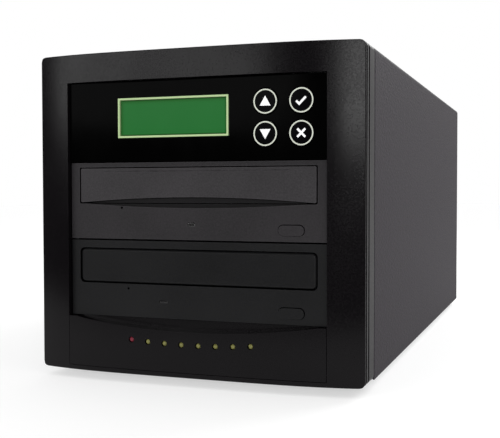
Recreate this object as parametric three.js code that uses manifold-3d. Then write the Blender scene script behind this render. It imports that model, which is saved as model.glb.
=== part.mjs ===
// A desktop disc duplicator tower: a steel case with a bowed plastic front, a control panel
// with a text display and four keys, two tray-loading optical drives and a power supply.
// Millimetres. X is across, Y runs from the front to the back, Z is up.
import * as THREE from "three";
import { mergeVertices } from "three/addons/utils/BufferGeometryUtils.js";
import Module from "manifold-3d";

// Driving dimensions
const towerWidth = 187;
const towerHeight = 174;
const caseDepth = 380;
const footHeight = 5;
const sheet = 1;
const gap = 0.3;
const overrun = 2;

// How many sides round shapes have
const fineSides = 40;
const roundSides = 20;
const smallSides = 10;
const cornerSteps = 2;

// The front moulding: its face bows out, so its outer ends lie further back
const bezel = {
  depth: 27,
  bow: 6,
  bowPower: 4,
  bowSteps: 18,
  cornerRadius: 3,
  wall: 2.5,
  topBar: 15.5,
  bottomBar: 2.5,
  column: 19,
  pocketFront: 10,
  grooveWidth: 1.6,
  grooveDepth: 1.2,
  frontGroove: 7.2,
  middleGroove: 12.5,
  rearStep: 25.8,
};
const openingWidth = towerWidth - 2 * bezel.column;

// The optical drives, in the frame of each drive: its face lies at y 0 and its foot at z 0
const faceSideGap = 0.5;
const bodyInset = 1;
const drive = {
  faceWidth: openingWidth - 2 * faceSideGap,
  faceHeight: 42,
  faceThick: 5,
  faceSetBack: 5.5,
  spacing: 0.5,
  bodyWidth: openingWidth - 2 * faceSideGap - 2 * bodyInset,
  bodyHeight: 41.3,
  bodyDepth: 165,
};
const stackBottom = 30.2;
const drivePitch = drive.faceHeight + drive.spacing;
const stackTop = stackBottom + drivePitch + drive.faceHeight;
const openingTop = towerHeight - bezel.topBar;
const faceBack = drive.faceSetBack + drive.faceThick;

const finishes = {
  bezelPlastic: { color: 0x2a2a2c, roughness: 0.5, metalness: 0 },
  drivePlastic: { color: 0x242526, roughness: 0.45, metalness: 0 },
  glossPanel: { color: 0x050505, roughness: 0.12, metalness: 0 },
  coatedSteel: { color: 0x4a484a, roughness: 0.7, metalness: 0.2 },
  bareSteel: { color: 0xa9adb0, roughness: 0.35, metalness: 0.9 },
  displayFrame: { color: 0xaacd6e, roughness: 0.4, metalness: 0 },
  displayGreen: { color: 0x28733a, roughness: 0.2, metalness: 0 },
  trayPlastic: { color: 0x1c1c1e, roughness: 0.5, metalness: 0 },
  whitePlastic: { color: 0xd8d8d2, roughness: 0.5, metalness: 0 },
  board: { color: 0x1f5c3a, roughness: 0.5, metalness: 0.1 },
  rubber: { color: 0x161616, roughness: 0.9, metalness: 0 },
  lead: { color: 0xa02020, roughness: 0.5, metalness: 0 },
  darkLead: { color: 0x18181a, roughness: 0.5, metalness: 0 },
  smokedLens: { color: 0x5a6a5a, roughness: 0.2, metalness: 0 },
};

const wasm = await Module();
wasm.setup();

// Turn a closed geometry into a solid that can be joined and cut.
function toSolid(geometry) {
  const bare = geometry.clone();
  bare.deleteAttribute("normal");
  bare.deleteAttribute("uv");
  const merged = mergeVertices(bare);
  return new wasm.Manifold(
    new wasm.Mesh({
      numProp: 3,
      vertProperties: new Float32Array(merged.attributes.position.array),
      triVerts: new Uint32Array(merged.index.array),
    }),
  );
}

// The range of a given size with its middle at a place.
function around(centre, size) {
  return [centre - size / 2, centre + size / 2];
}

// The range that starts at a place and has a given length.
function from(start, length) {
  return [start, start + length];
}

// A range made longer by the overrun of a cutting tool at both ends.
function past([low, high]) {
  return [low - overrun, high + overrun];
}

function block([x0, x1], [y0, y1], [z0, z1]) {
  const geometry = new THREE.BoxGeometry(x1 - x0, y1 - y0, z1 - z0);
  geometry.translate((x0 + x1) / 2, (y0 + y1) / 2, (z0 + z1) / 2);
  return toSolid(geometry);
}

// A round bar along an axis; its centre gives the two other coordinates in order.
function rod(axis, [a, b], radius, [low, high], sides) {
  const geometry = new THREE.CylinderGeometry(radius, radius, high - low, sides);
  const middle = (low + high) / 2;
  if (axis === "x") {
    geometry.rotateZ(Math.PI / 2);
    geometry.translate(middle, a, b);
  } else if (axis === "y") {
    geometry.translate(a, middle, b);
  } else {
    geometry.rotateX(Math.PI / 2);
    geometry.translate(a, b, middle);
  }
  return toSolid(geometry);
}

// A shape drawn across an axis and drawn out along it: y, z for x; x, z for y; x, y for z.
function prism(shape, axis, [low, high], curveSegments = cornerSteps) {
  const geometry = new THREE.ExtrudeGeometry(shape, {
    depth: high - low,
    bevelEnabled: false,
    curveSegments,
  });
  if (axis === "x") {
    const across = new THREE.Vector3(1, 0, 0);
    const along = new THREE.Vector3(0, 1, 0);
    const up = new THREE.Vector3(0, 0, 1);
    geometry.applyMatrix4(new THREE.Matrix4().makeBasis(along, up, across));
    geometry.translate(low, 0, 0);
  } else if (axis === "y") {
    geometry.rotateX(Math.PI / 2);
    geometry.translate(0, high, 0);
  } else {
    geometry.translate(0, 0, low);
  }
  return toSolid(geometry);
}

function outline(points) {
  return new THREE.Shape(points.map(([x, y]) => new THREE.Vector2(x, y)));
}

// A rectangle with round corners, between two corners.
function roundedRectangle([x0, x1], [y0, y1], radius) {
  const quarter = Math.PI / 2;
  const shape = new THREE.Shape();
  shape.absarc(x1 - radius, y0 + radius, radius, -quarter, 0, false);
  shape.absarc(x1 - radius, y1 - radius, radius, 0, quarter, false);
  shape.absarc(x0 + radius, y1 - radius, radius, quarter, 2 * quarter, false);
  shape.absarc(x0 + radius, y0 + radius, radius, 2 * quarter, 3 * quarter, false);
  shape.closePath();
  return shape;
}

// Points of a shallow arch between two ends at height 0, left to right.
function archPoints(halfWidth, rise, steps) {
  return Array.from({ length: steps + 1 }, (unused, i) => {
    const share = (2 * i) / steps - 1;
    return [share * halfWidth, rise * (1 - share * share)];
  });
}

function joined(solids) {
  return solids.reduce((sum, next) => sum.add(next));
}

function cut(body, tools) {
  return tools.reduce((rest, tool) => rest.subtract(tool), body);
}

function piece(name, body, finish) {
  const made = body.getMesh();
  const geometry = new THREE.BufferGeometry();
  geometry.setAttribute("position", new THREE.BufferAttribute(made.vertProperties, 3));
  geometry.setIndex(new THREE.BufferAttribute(made.triVerts, 1));
  geometry.computeVertexNormals();
  const mesh = new THREE.Mesh(geometry, new THREE.MeshStandardMaterial(finish));
  mesh.name = name;
  return mesh;
}

const tower = new THREE.Group();

// Front bezel and lower front panel

// How far the bowed face lies behind its foremost line at a place across the front.
function bowAt(x) {
  return bezel.bow * Math.abs((2 * x) / towerWidth) ** bezel.bowPower;
}

// The plan of a bowed moulding between two sides, from its face back to a given depth.
function bowedPlan(halfWidth, back) {
  const face = Array.from({ length: bezel.bowSteps + 1 }, (unused, i) => {
    const x = ((2 * i) / bezel.bowSteps - 1) * halfWidth;
    return [x, bowAt(x)];
  });
  return outline([...face, [halfWidth, back], [-halfWidth, back]]);
}

// A groove that runs round the sides of the moulding, starting at a given depth. One that starts
// near the rear edge reaches past it and leaves a step there.
function perimeterGroove(start) {
  const width = from(start, bezel.grooveWidth);
  const outside = block(past(around(0, towerWidth)), width, past([0, towerHeight]));
  const inside = block(
    around(0, towerWidth - 2 * bezel.grooveDepth),
    past(width),
    [bezel.grooveDepth, towerHeight - bezel.grooveDepth],
  );
  return outside.subtract(inside);
}

function frontBezel() {
  const plan = prism(bowedPlan(towerWidth / 2, bezel.depth), "z", [0, towerHeight]);
  const frontView = roundedRectangle(around(0, towerWidth), [0, towerHeight], bezel.cornerRadius);
  const outside = plan.intersect(prism(frontView, "y", past([0, bezel.depth])));
  const opening = block(
    around(0, openingWidth),
    past([0, bezel.depth]),
    [bezel.bottomBar, openingTop],
  );
  const pocket = block(
    around(0, towerWidth - 2 * bezel.wall),
    [bezel.pocketFront, bezel.depth + overrun],
    [bezel.wall, towerHeight - bezel.wall],
  );
  const grooves = [bezel.frontGroove, bezel.middleGroove, bezel.rearStep].map(perimeterGroove);
  return cut(outside, [opening, pocket, ...grooves]);
}

const lowerPanel = {
  back: 12,
  pocketFront: 3,
  pocketInset: 22.5,
  pocketBottom: 7,
  pocketTop: 21.9,
  archInset: 4.5,
  archDrop: 5.5,
  archSteps: 16,
  archDepth: 8,
  bossRadius: 2,
  bossInset: 4,
};
const lowerPocketWidth = openingWidth - 2 * lowerPanel.pocketInset;
const lowerArchHalfWidth = openingWidth / 2 - lowerPanel.archInset;
const lamps = {
  count: 8,
  radius: 1.5,
  holeGap: 0.15,
  middleHeight: 17.5,
  endRise: 1.4,
  tip: 0.2,
  boardThick: 1.6,
  boardFront: 9,
  boardBottom: 10.5,
  boardTop: 21.5,
  boardInset: 3,
};
const lampBoardWidth = lowerPocketWidth - 2 * lamps.boardInset;
const lampPitch = lampBoardWidth / (lamps.count + 2);

// Places of the status lamps, in a row that rises a little towards both ends.
function lampPlaces() {
  const reach = (lampPitch * (lamps.count - 1)) / 2;
  return Array.from({ length: lamps.count }, (unused, i) => {
    const x = i * lampPitch - reach;
    return [x, lamps.middleHeight + lamps.endRise * (x / reach) ** 2];
  });
}

function lowerFrontPanel() {
  const halfWidth = openingWidth / 2 - gap;
  const height = [bezel.bottomBar + gap, stackBottom - gap];
  const body = prism(bowedPlan(halfWidth, lowerPanel.back), "z", height);
  const arch = archPoints(lowerArchHalfWidth, -lowerPanel.archDrop, lowerPanel.archSteps);
  const top = height[1];
  const scoop = outline([
    ...arch.map(([x, z]) => [x, top + z]),
    [lowerArchHalfWidth, top + overrun],
    [-lowerArchHalfWidth, top + overrun],
  ]);
  const pocketDepth = [lowerPanel.pocketFront, lowerPanel.back + overrun];
  const pocketHeight = [lowerPanel.pocketBottom, lowerPanel.pocketTop];
  const pocket = block(around(0, lowerPocketWidth), pocketDepth, pocketHeight);
  const holes = lampPlaces().map((place) =>
    rod(
      "y",
      place,
      lamps.radius + lamps.holeGap,
      past([0, lowerPanel.pocketFront]),
      smallSides,
    ),
  );
  const hollow = cut(body, [
    prism(scoop, "y", [-overrun, lowerPanel.archDepth]),
    pocket,
    ...holes,
  ]);
  const bossX = lowerPocketWidth / 2 - lowerPanel.bossInset;
  const bossZ = (lowerPanel.pocketBottom + lowerPanel.pocketTop) / 2;
  const bossDepth = [lowerPanel.pocketFront / 2, lamps.boardFront - gap];
  const bosses = [-bossX, bossX].map((x) =>
    rod("y", [x, bossZ], lowerPanel.bossRadius, bossDepth, smallSides),
  );
  return joined([hollow, ...bosses]);
}

// The lamps are soldered to their board.
function statusLampBoard() {
  const board = block(
    around(0, lampBoardWidth),
    from(lamps.boardFront, lamps.boardThick),
    [lamps.boardBottom, lamps.boardTop],
  );
  const bodies = lampPlaces().map((place) =>
    rod(
      "y",
      place,
      lamps.radius,
      [lamps.tip + bowAt(place[0]), lamps.boardFront + lamps.boardThick / 2],
      smallSides,
    ),
  );
  return joined([board, ...bodies]);
}

tower.add(piece("front_bezel", frontBezel(), finishes.bezelPlastic));
tower.add(piece("lower_front_panel", lowerFrontPanel(), finishes.bezelPlastic));
tower.add(piece("status_lamp_board", statusLampBoard(), finishes.board));

// Steel case: cover, base pan, rear panel, bay walls, feet and screws

const rearPanelDepth = [caseDepth - 2 * sheet - gap, caseDepth - sheet - gap];
const insideHalfWidth = towerWidth / 2 - sheet - gap;
const coverFront = bezel.depth + gap;
const screws = {
  sideInset: 6.5,
  lowerHeight: 40,
  topInset: 34,
  holeRadius: 2.1,
  shankRadius: 1.7,
  shankLength: 6,
  headRadius: 4.5,
  headThick: 3,
};
const screwX = towerWidth / 2 - screws.sideInset;
const screwHeights = { lower: screws.lowerHeight, upper: towerHeight - screws.topInset };
const cover = { rearFlange: 12, innerRadius: 2 };

function screwHoles(depth) {
  return [-screwX, screwX].flatMap((x) =>
    Object.values(screwHeights).map((z) =>
      rod("y", [x, z], screws.holeRadius, past(depth), smallSides),
    ),
  );
}

function caseCover() {
  const depth = [coverFront, caseDepth];
  const radius = bezel.cornerRadius;
  const outer = prism(
    roundedRectangle(around(0, towerWidth), [-towerHeight, towerHeight], radius),
    "y",
    depth,
  );
  const below = block(past(around(0, towerWidth)), past(depth), [-towerHeight - overrun, 0]);
  const inner = prism(
    roundedRectangle(
      around(0, towerWidth - 2 * sheet),
      [-towerHeight, towerHeight - sheet],
      cover.innerRadius,
    ),
    "y",
    [coverFront - overrun, caseDepth - sheet],
  );
  const rearOpening = block(
    around(0, towerWidth - 2 * cover.rearFlange),
    past([caseDepth - sheet, caseDepth]),
    [-towerHeight, towerHeight - cover.rearFlange],
  );
  return cut(outer, [below, inner, rearOpening, ...screwHoles([caseDepth - sheet, caseDepth])]);
}

const pan = { sideFlange: 12, frontFlange: 10 };
const feet = {
  sideInset: 23.5,
  frontY: 50,
  rearInset: 45,
  topRadius: 10,
  footRadius: 8.5,
  stemRadius: 2.4,
  stemHole: 2.7,
};
const footX = towerWidth / 2 - feet.sideInset;
const footRearY = caseDepth - feet.rearInset;
const footPlaces = {
  foot_front_left: [-footX, feet.frontY],
  foot_front_right: [footX, feet.frontY],
  foot_rear_left: [-footX, footRearY],
  foot_rear_right: [footX, footRearY],
};

function basePan() {
  const depth = [coverFront, rearPanelDepth[0] - gap];
  const width = around(0, 2 * insideHalfWidth);
  const floor = block(width, depth, [0, sheet]);
  const front = block(width, from(coverFront, sheet), [0, pan.frontFlange]);
  const sides = [-insideHalfWidth, insideHalfWidth - sheet].map((x) =>
    block(from(x, sheet), depth, [0, pan.sideFlange]),
  );
  const holes = Object.values(footPlaces).map((place) =>
    rod("z", place, feet.stemHole, past([0, sheet]), smallSides),
  );
  return cut(joined([floor, front, ...sides]), holes);
}

function rubberFoot() {
  const profile = [
    [0, -footHeight],
    [feet.footRadius, -footHeight],
    [feet.topRadius, -gap],
    [feet.stemRadius, -gap],
    [feet.stemRadius, sheet],
    [0, sheet],
  ];
  const points = profile.map(([r, z]) => new THREE.Vector2(r, z));
  const geometry = new THREE.LatheGeometry(points, roundSides);
  geometry.rotateX(Math.PI / 2);
  return toSolid(geometry);
}

function coverScrew() {
  const head = rod("y", [0, 0], screws.headRadius, from(gap, screws.headThick), smallSides);
  const shank = rod(
    "y",
    [0, 0],
    screws.shankRadius,
    [gap - screws.shankLength, gap + screws.headThick / 2],
    smallSides,
  );
  return head.add(shank);
}

const bayWall = {
  rearY: 190,
  flange: 10,
  tongueTop: 157,
  slotLength: 12,
  slotHeight: 4,
  slotFrontY: 60,
  slotRearY: 140,
  slotRise: 10,
};
const bayHalfWidth = drive.bodyWidth / 2 + gap;

// One bay wall; side is -1 on the left and 1 on the right.
function bayWallBody(side) {
  const height = [sheet + gap, towerHeight - sheet - gap];
  const wallDepth = [coverFront, bayWall.rearY];
  const afterFlange = coverFront + sheet + gap;
  const wallX = [bayHalfWidth, bayHalfWidth + sheet];
  const flangeX = from(bayHalfWidth, bayWall.flange);
  const wall = block(wallX, [afterFlange, bayWall.rearY], height);
  const foot = block(flangeX, [afterFlange, bayWall.rearY], from(height[0], sheet));
  const head = block(flangeX, wallDepth, [height[1] - sheet, height[1]]);
  const tongue = block(
    wallX,
    [faceBack + gap, bayWall.rearY],
    [stackBottom, bayWall.tongueTop],
  );
  const slots = [stackBottom, stackBottom + drivePitch].flatMap((z) =>
    [bayWall.slotFrontY, bayWall.slotRearY].map((y) =>
      block(
        past(wallX),
        from(y, bayWall.slotLength),
        from(z + bayWall.slotRise, bayWall.slotHeight),
      ),
    ),
  );
  const right = cut(joined([wall, foot, head, tongue]), slots);
  return side > 0 ? right : right.mirror([1, 0, 0]);
}

tower.add(piece("case_cover", caseCover(), finishes.coatedSteel));
tower.add(piece("base_pan", basePan(), finishes.bareSteel));
tower.add(piece("bay_wall_left", bayWallBody(-1), finishes.bareSteel));
tower.add(piece("bay_wall_right", bayWallBody(1), finishes.bareSteel));
for (const [name, [x, y]] of Object.entries(footPlaces)) {
  const foot = piece(name, rubberFoot(), finishes.rubber);
  foot.position.set(x, y, 0);
  tower.add(foot);
}
for (const [level, z] of Object.entries(screwHeights)) {
  for (const [hand, x] of Object.entries({ left: -screwX, right: screwX })) {
    const screw = piece(`cover_screw_${level}_${hand}`, coverScrew(), finishes.bareSteel);
    screw.position.set(x, caseDepth, z);
    tower.add(screw);
  }
}

// Control panel: plate, display, keys and their boards, in a group at the panel's lower edge

const panel = {
  setBack: 4.5,
  thick: 2.5,
  rim: 2,
  height: openingTop - stackTop - 2 * gap,
  width: openingWidth - 2 * gap,
};
const display = {
  leftInset: 30.1,
  rightInset: 53.5,
  bottom: 12.8,
  height: 21.5,
  line: 1.1,
  proud: 0.2,
  frameThick: 2.5,
  screenSetBack: 0.6,
  screenThick: 3.2,
  boardMargin: 6,
  boardThick: 1.6,
  bossRadius: 1.5,
  bossInset: 2.5,
  chipSize: 12,
  chipThick: 2,
  chipSpread: 14,
};
const displayX = [
  display.leftInset - panel.width / 2,
  panel.width / 2 - display.rightInset,
];
const displayZ = from(display.bottom, display.height);
const displayBoardX = [displayX[0] - display.boardMargin, displayX[1] + display.boardMargin];
const displayBoardZ = [displayZ[0] - display.boardMargin, displayZ[1] + display.boardMargin];
const screenBack = display.screenSetBack + display.screenThick;
const keys = {
  sideInset: 13.5,
  pitch: 19.4,
  upperZ: 29.9,
  lowerZ: 13.4,
  radius: 6.8,
  flangeRadius: 8,
  flangeThick: 1,
  proud: 0.8,
  travel: 0.7,
  boardThick: 1.6,
  boardLeft: 11.9,
  boardRight: 10.9,
  boardBottom: 4,
  boardHeight: 36,
  bossRadius: 2.2,
  bossInset: 2.4,
  switchWidth: 6,
  switchDepth: 4,
};
const keyBack = panel.thick + gap + keys.flangeThick;
const keyBoardFront = keyBack + keys.travel + gap + keys.switchDepth;
const rightKeyX = panel.width / 2 - keys.sideInset;
const leftKeyX = rightKeyX - keys.pitch;
const keyBoardX = [leftKeyX - keys.boardLeft, rightKeyX + keys.boardRight];
const keyBoardZ = from(keys.boardBottom, keys.boardHeight);
const keyPlaces = {
  up_button: [leftKeyX, keys.upperZ],
  enter_button: [rightKeyX, keys.upperZ],
  down_button: [leftKeyX, keys.lowerZ],
  escape_button: [rightKeyX, keys.lowerZ],
};

// The four places at a given inset from the corners of a board.
function cornerPlaces([a0, a1], [b0, b1], inset) {
  return [a0 + inset, a1 - inset].flatMap((a) => [b0 + inset, b1 - inset].map((b) => [a, b]));
}

function controlPanel() {
  const width = around(0, panel.width);
  const height = [0, panel.height];
  const back = drive.faceSetBack + drive.faceThick - panel.setBack;
  const plate = block(width, [0, back], height);
  const hollow = block(
    around(0, panel.width - 2 * panel.rim),
    [panel.thick, back + overrun],
    [panel.rim, panel.height - panel.rim],
  );
  const through = past([0, panel.thick]);
  const window = block(
    [displayX[0] - gap, displayX[1] + gap],
    through,
    [displayZ[0] - gap, displayZ[1] + gap],
  );
  const holes = Object.values(keyPlaces).map((place) =>
    rod("y", place, keys.radius + gap, through, roundSides),
  );
  const keyBosses = cornerPlaces(keyBoardX, keyBoardZ, keys.bossInset).map((place) =>
    rod("y", place, keys.bossRadius, [panel.thick / 2, keyBoardFront - gap], smallSides),
  );
  const displayBosses = cornerPlaces(displayBoardX, displayBoardZ, display.bossInset).map(
    (place) => rod("y", place, display.bossRadius, [panel.thick / 2, screenBack], smallSides),
  );
  return joined([cut(plate, [hollow, window, ...holes]), ...keyBosses, ...displayBosses]);
}

function displayFrame() {
  const depth = from(-display.proud, display.frameThick);
  const ring = block(displayX, depth, displayZ);
  const window = block(
    [displayX[0] + display.line, displayX[1] - display.line],
    past(depth),
    [displayZ[0] + display.line, displayZ[1] - display.line],
  );
  return ring.subtract(window);
}

function displayScreen() {
  const inset = display.line + gap;
  return block(
    [displayX[0] + inset, displayX[1] - inset],
    from(display.screenSetBack, display.screenThick),
    [displayZ[0] + inset, displayZ[1] - inset],
  );
}

function displayBoard() {
  const front = screenBack + gap;
  const board = block(displayBoardX, from(front, display.boardThick), displayBoardZ);
  const chipY = from(front + display.boardThick / 2, display.boardThick / 2 + display.chipThick);
  const middleX = (displayBoardX[0] + displayBoardX[1]) / 2;
  const middleZ = (displayBoardZ[0] + displayBoardZ[1]) / 2;
  const chips = [-display.chipSpread, display.chipSpread].map((offset) =>
    block(around(middleX + offset, display.chipSize), chipY, around(middleZ, display.chipSize)),
  );
  return joined([board, ...chips]);
}

function keyBody() {
  const cap = rod("y", [0, 0], keys.radius, [-keys.proud, panel.thick + gap], roundSides);
  const flangeDepth = [keyBack - keys.flangeThick, keyBack];
  const flange = rod("y", [0, 0], keys.flangeRadius, flangeDepth, roundSides);
  return cap.add(flange);
}

function keyBoard() {
  const board = block(keyBoardX, from(keyBoardFront, keys.boardThick), keyBoardZ);
  const switches = Object.values(keyPlaces).map(([x, z]) =>
    block(
      around(x, keys.switchWidth),
      [keyBoardFront - keys.switchDepth, keyBoardFront + keys.boardThick / 2],
      around(z, keys.switchWidth),
    ),
  );
  return joined([board, ...switches]);
}

const panelGroup = new THREE.Group();
panelGroup.position.set(0, panel.setBack, stackTop + gap);
panelGroup.add(piece("control_panel", controlPanel(), finishes.glossPanel));
panelGroup.add(piece("lcd_frame", displayFrame(), finishes.displayFrame));
panelGroup.add(piece("lcd_screen", displayScreen(), finishes.displayGreen));
panelGroup.add(piece("lcd_board", displayBoard(), finishes.board));
panelGroup.add(piece("key_board", keyBoard(), finishes.board));
for (const [name, [x, z]] of Object.entries(keyPlaces)) {
  const key = piece(name, keyBody(), finishes.glossPanel);
  key.position.set(x, 0, z);
  panelGroup.add(key);
}
tower.add(panelGroup);

// Controller bracket and board, in the top bay behind the control panel

const controller = {
  frontY: 26,
  depth: 118,
  plateRise: 1.2,
  flange: 8,
  postRadius: 3,
  postHeight: 5,
  postInset: 10,
  boardMargin: 4,
  boardThick: 1.6,
  chipSize: 28,
  chipThick: 2.5,
  sinkHeight: 9,
  headerInset: 20,
  headerWidth: 50,
  headerDepth: 6,
  headerHeight: 9,
  socketSpread: 28,
  socketWidth: 14,
  socketDepth: 16,
  socketHeight: 8,
};
const bracketX = around(0, drive.bodyWidth);
const bracketY = from(controller.frontY, controller.depth);
const bracketZ = stackTop + controller.plateRise;
const postTop = bracketZ + sheet + controller.postHeight;

function controllerBracket() {
  const plate = block(bracketX, bracketY, from(bracketZ, sheet));
  const flanges = [bracketX[0], bracketX[1] - sheet].map((x) =>
    block(from(x, sheet), bracketY, from(bracketZ, controller.flange)),
  );
  const postHeight = [bracketZ + sheet / 2, postTop];
  const posts = cornerPlaces(bracketX, bracketY, controller.postInset).map((place) =>
    rod("z", place, controller.postRadius, postHeight, smallSides),
  );
  return joined([plate, ...flanges, ...posts]);
}

function controllerBoard() {
  const low = postTop + gap;
  const margin = controller.boardMargin;
  const boardY = [bracketY[0] + margin, bracketY[1] - margin];
  const board = block(
    [bracketX[0] + margin, bracketX[1] - margin],
    boardY,
    from(low, controller.boardThick),
  );
  const top = low + controller.boardThick / 2;
  const middleY = (boardY[0] + boardY[1]) / 2;
  const chip = block(
    around(0, controller.chipSize),
    around(middleY, controller.chipSize),
    [top, low + controller.boardThick + controller.chipThick + controller.sinkHeight],
  );
  const header = block(
    from(bracketX[0] + controller.headerInset, controller.headerWidth),
    from(boardY[0] + margin, controller.headerDepth),
    [top, low + controller.boardThick + controller.headerHeight],
  );
  const sockets = [-controller.socketSpread, controller.socketSpread].map((x) =>
    block(
      around(x, controller.socketWidth),
      [boardY[1] - controller.socketDepth, boardY[1]],
      [top, low + controller.boardThick + controller.socketHeight],
    ),
  );
  return joined([board, chip, header, ...sockets]);
}

tower.add(piece("controller_bracket", controllerBracket(), finishes.bareSteel));
tower.add(piece("controller_board", controllerBoard(), finishes.board));

// Optical drives

const shellGap = (drive.faceHeight - drive.bodyHeight) / 2;
const shellFront = drive.faceThick + gap;
const shellZ = [shellGap, shellGap + drive.bodyHeight];
const driveStyles = {
  upper: {
    doorTop: 2.9,
    doorHeight: 19.3,
    doorCorner: 0.8,
    doorArch: 3,
    fingerDrop: 2.6,
    lens: { x: -1.1, z: 8.4, width: 4.4, height: 2.2, radius: 1 },
    pinhole: [-42.7, 17.2],
  },
  lower: {
    doorTop: 4.6,
    doorHeight: 18.9,
    doorCorner: 2.5,
    doorArch: 0,
    fingerDrop: 0,
    lens: { x: -17.6, z: 8.8, width: 5, height: 1.2, radius: 0.5 },
    pinhole: [-38.9, 15.6],
  },
};
const door = { sideInset: 5.5, gap: 0.4, thick: 3.5, archSteps: 12, fingerDepth: 3 };
const doorHalfWidth = drive.faceWidth / 2 - door.sideInset;
const ejectInset = 19.2;
const eject = {
  x: drive.faceWidth / 2 - ejectInset,
  z: 6,
  width: 14,
  height: 5.5,
  radius: 2.6,
  proud: 0.8,
  flange: 1.2,
  flangeThick: 1,
};
const lensGap = 0.15;
const pinholeRadius = 0.7;

const tray = {
  sideInset: 9,
  bottom: 25,
  height: 7,
  floor: 2.5,
  rearY: 156,
  centreY: 68,
  wellRim: 3.2,
  smallWellRadius: 40.5,
  smallWellDrop: 1,
  slotWidth: 35,
  slotFrontY: 50,
};
const trayHalfWidth = drive.bodyWidth / 2 - tray.sideInset;
const wellRadius = trayHalfWidth - tray.wellRim;
const slideGap = 0.5;
const ledgeReach = 6;
const mechanism = {
  frontY: 9,
  rearY: 152,
  halfWidth: drive.bodyWidth / 2 - sheet - slideGap,
  innerHalfWidth: trayHalfWidth + slideGap,
  ledgeHalfWidth: trayHalfWidth - ledgeReach,
  ledgeThick: 4,
  floorZ: 6,
  floorThick: 2,
  wallTop: 34,
};
const gearInset = 28;
const gear = {
  teeth: 16,
  module: 1.25,
  x: gearInset - trayHalfWidth,
  y: 18,
  bottom: 20.8,
  top: 24.4,
  backlash: 0.6,
  addendum: 1,
  dedendum: 1.3,
  flankSlope: 0.36,
  postRadius: 3.5,
  pinRadius: 1.5,
  pinTop: 24,
};
const gearRadius = (gear.teeth * gear.module) / 2;
const toothPitch = Math.PI * gear.module;
const toothHalf = toothPitch / 4 - gear.backlash / 2;
const rack = { frontY: 8, bottom: 20.5, back: 3.2 };
const deck = {
  sideInset: 22,
  frontY: 32,
  rearY: 144,
  thick: 2.5,
  hingeY: 142,
  pinRadius: 1.1,
  pinHole: 1.4,
  earThick: 4,
  earLength: 8,
  earHeight: 4.5,
  motorRadius: 11,
  motorTop: 16,
  railWallThick: 2,
  railWallFrontY: 80,
  railWallRearY: 137,
  railWallTop: 16,
  railWallInset: 11,
  railInset: 16,
  railZ: 13.8,
  railRadius: 1.5,
};
const deckHalfWidth = trayHalfWidth - deck.sideInset;
const railX = deckHalfWidth - deck.railInset;
const spindle = {
  cupRadius: 13,
  cupTop: 22,
  padRadius: 15,
  padTop: 23.5,
  hubRadius: 7.4,
  hubTop: 24.7,
  shaftRadius: 1.5,
  shaftHole: 1.8,
  shaftBottom: 12,
};
const sled = {
  bearing: 3.5,
  length: 20,
  centreY: 92,
  bottom: 11.4,
  top: 17.6,
  holeRadius: 1.8,
  lensRadius: 3,
  lensHeight: 1,
};
const driveBoard = {
  sideInset: 15,
  frontY: 12,
  thick: 1.6,
  chipSize: 18,
  chipThick: 1.2,
  chipY: 100,
  plugX: [15, 50],
  plugDepth: 10,
  plugHeight: 5.5,
  plugInset: 0.5,
  switchLength: 4,
  switchHeight: 2.2,
};
const mechanismTop = mechanism.floorZ + mechanism.floorThick;
const deckBottom = mechanismTop + gap;
const deckTop = deckBottom + deck.thick;
const hingeZ = deckBottom + deck.thick / 2;

// The outline of a tray door; its lower edge arches up in the middle where the style asks.
function doorOutline(style, grow, arch) {
  const half = doorHalfWidth + grow;
  const top = drive.faceHeight - style.doorTop + grow;
  const bottom = drive.faceHeight - style.doorTop - style.doorHeight - grow;
  const radius = style.doorCorner;
  const quarter = Math.PI / 2;
  const shape = new THREE.Shape();
  const inner = half - radius;
  const edge = arch > 0 ? archPoints(inner, arch, door.archSteps) : archPoints(inner, 0, 1);
  edge.forEach(([x, z], i) => (i ? shape.lineTo(x, bottom + z) : shape.moveTo(x, bottom + z)));
  shape.absarc(inner, bottom + radius, radius, -quarter, 0, false);
  shape.absarc(inner, top - radius, radius, 0, quarter, false);
  shape.absarc(-inner, top - radius, radius, quarter, 2 * quarter, false);
  shape.absarc(-inner, bottom + radius, radius, 2 * quarter, 3 * quarter, false);
  return shape;
}

function slotOutline({ x, z, width, height, radius }, grow) {
  return roundedRectangle(
    around(x, width + 2 * grow),
    around(z, height + 2 * grow),
    radius + grow,
  );
}

function driveFace(style) {
  const through = past([0, drive.faceThick]);
  const plate = block(
    around(0, drive.faceWidth),
    [0, drive.faceThick],
    [0, drive.faceHeight],
  );
  const tools = [
    prism(doorOutline(style, door.gap, 0), "y", through),
    prism(slotOutline(eject, gap), "y", through),
    prism(slotOutline(style.lens, lensGap), "y", through),
    rod("y", style.pinhole, pinholeRadius, through, smallSides),
  ];
  if (style.fingerDrop > 0) {
    const bottom = drive.faceHeight - style.doorTop - style.doorHeight;
    const arch = archPoints(doorHalfWidth, -style.fingerDrop, door.archSteps);
    const finger = outline([
      ...arch.map(([x, z]) => [x, bottom + z]),
      [doorHalfWidth, bottom + style.fingerDrop],
      [-doorHalfWidth, bottom + style.fingerDrop],
    ]);
    tools.push(prism(finger, "y", [-overrun, door.fingerDepth]));
  }
  return cut(plate, tools);
}

function driveShell() {
  const depth = from(shellFront, drive.bodyDepth);
  const outside = block(around(0, drive.bodyWidth), depth, shellZ);
  const inside = block(
    around(0, drive.bodyWidth - 2 * sheet),
    [shellFront - overrun, depth[1] - sheet],
    [shellZ[0] + sheet, shellZ[1] - sheet],
  );
  const plugHole = block(
    [driveBoard.plugX[0] - sheet, driveBoard.plugX[1] + sheet],
    past([depth[1] - sheet, depth[1]]),
    from(shellZ[0] + 2 * sheet, driveBoard.plugHeight + sheet),
  );
  return cut(outside, [inside, plugHole]);
}

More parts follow.
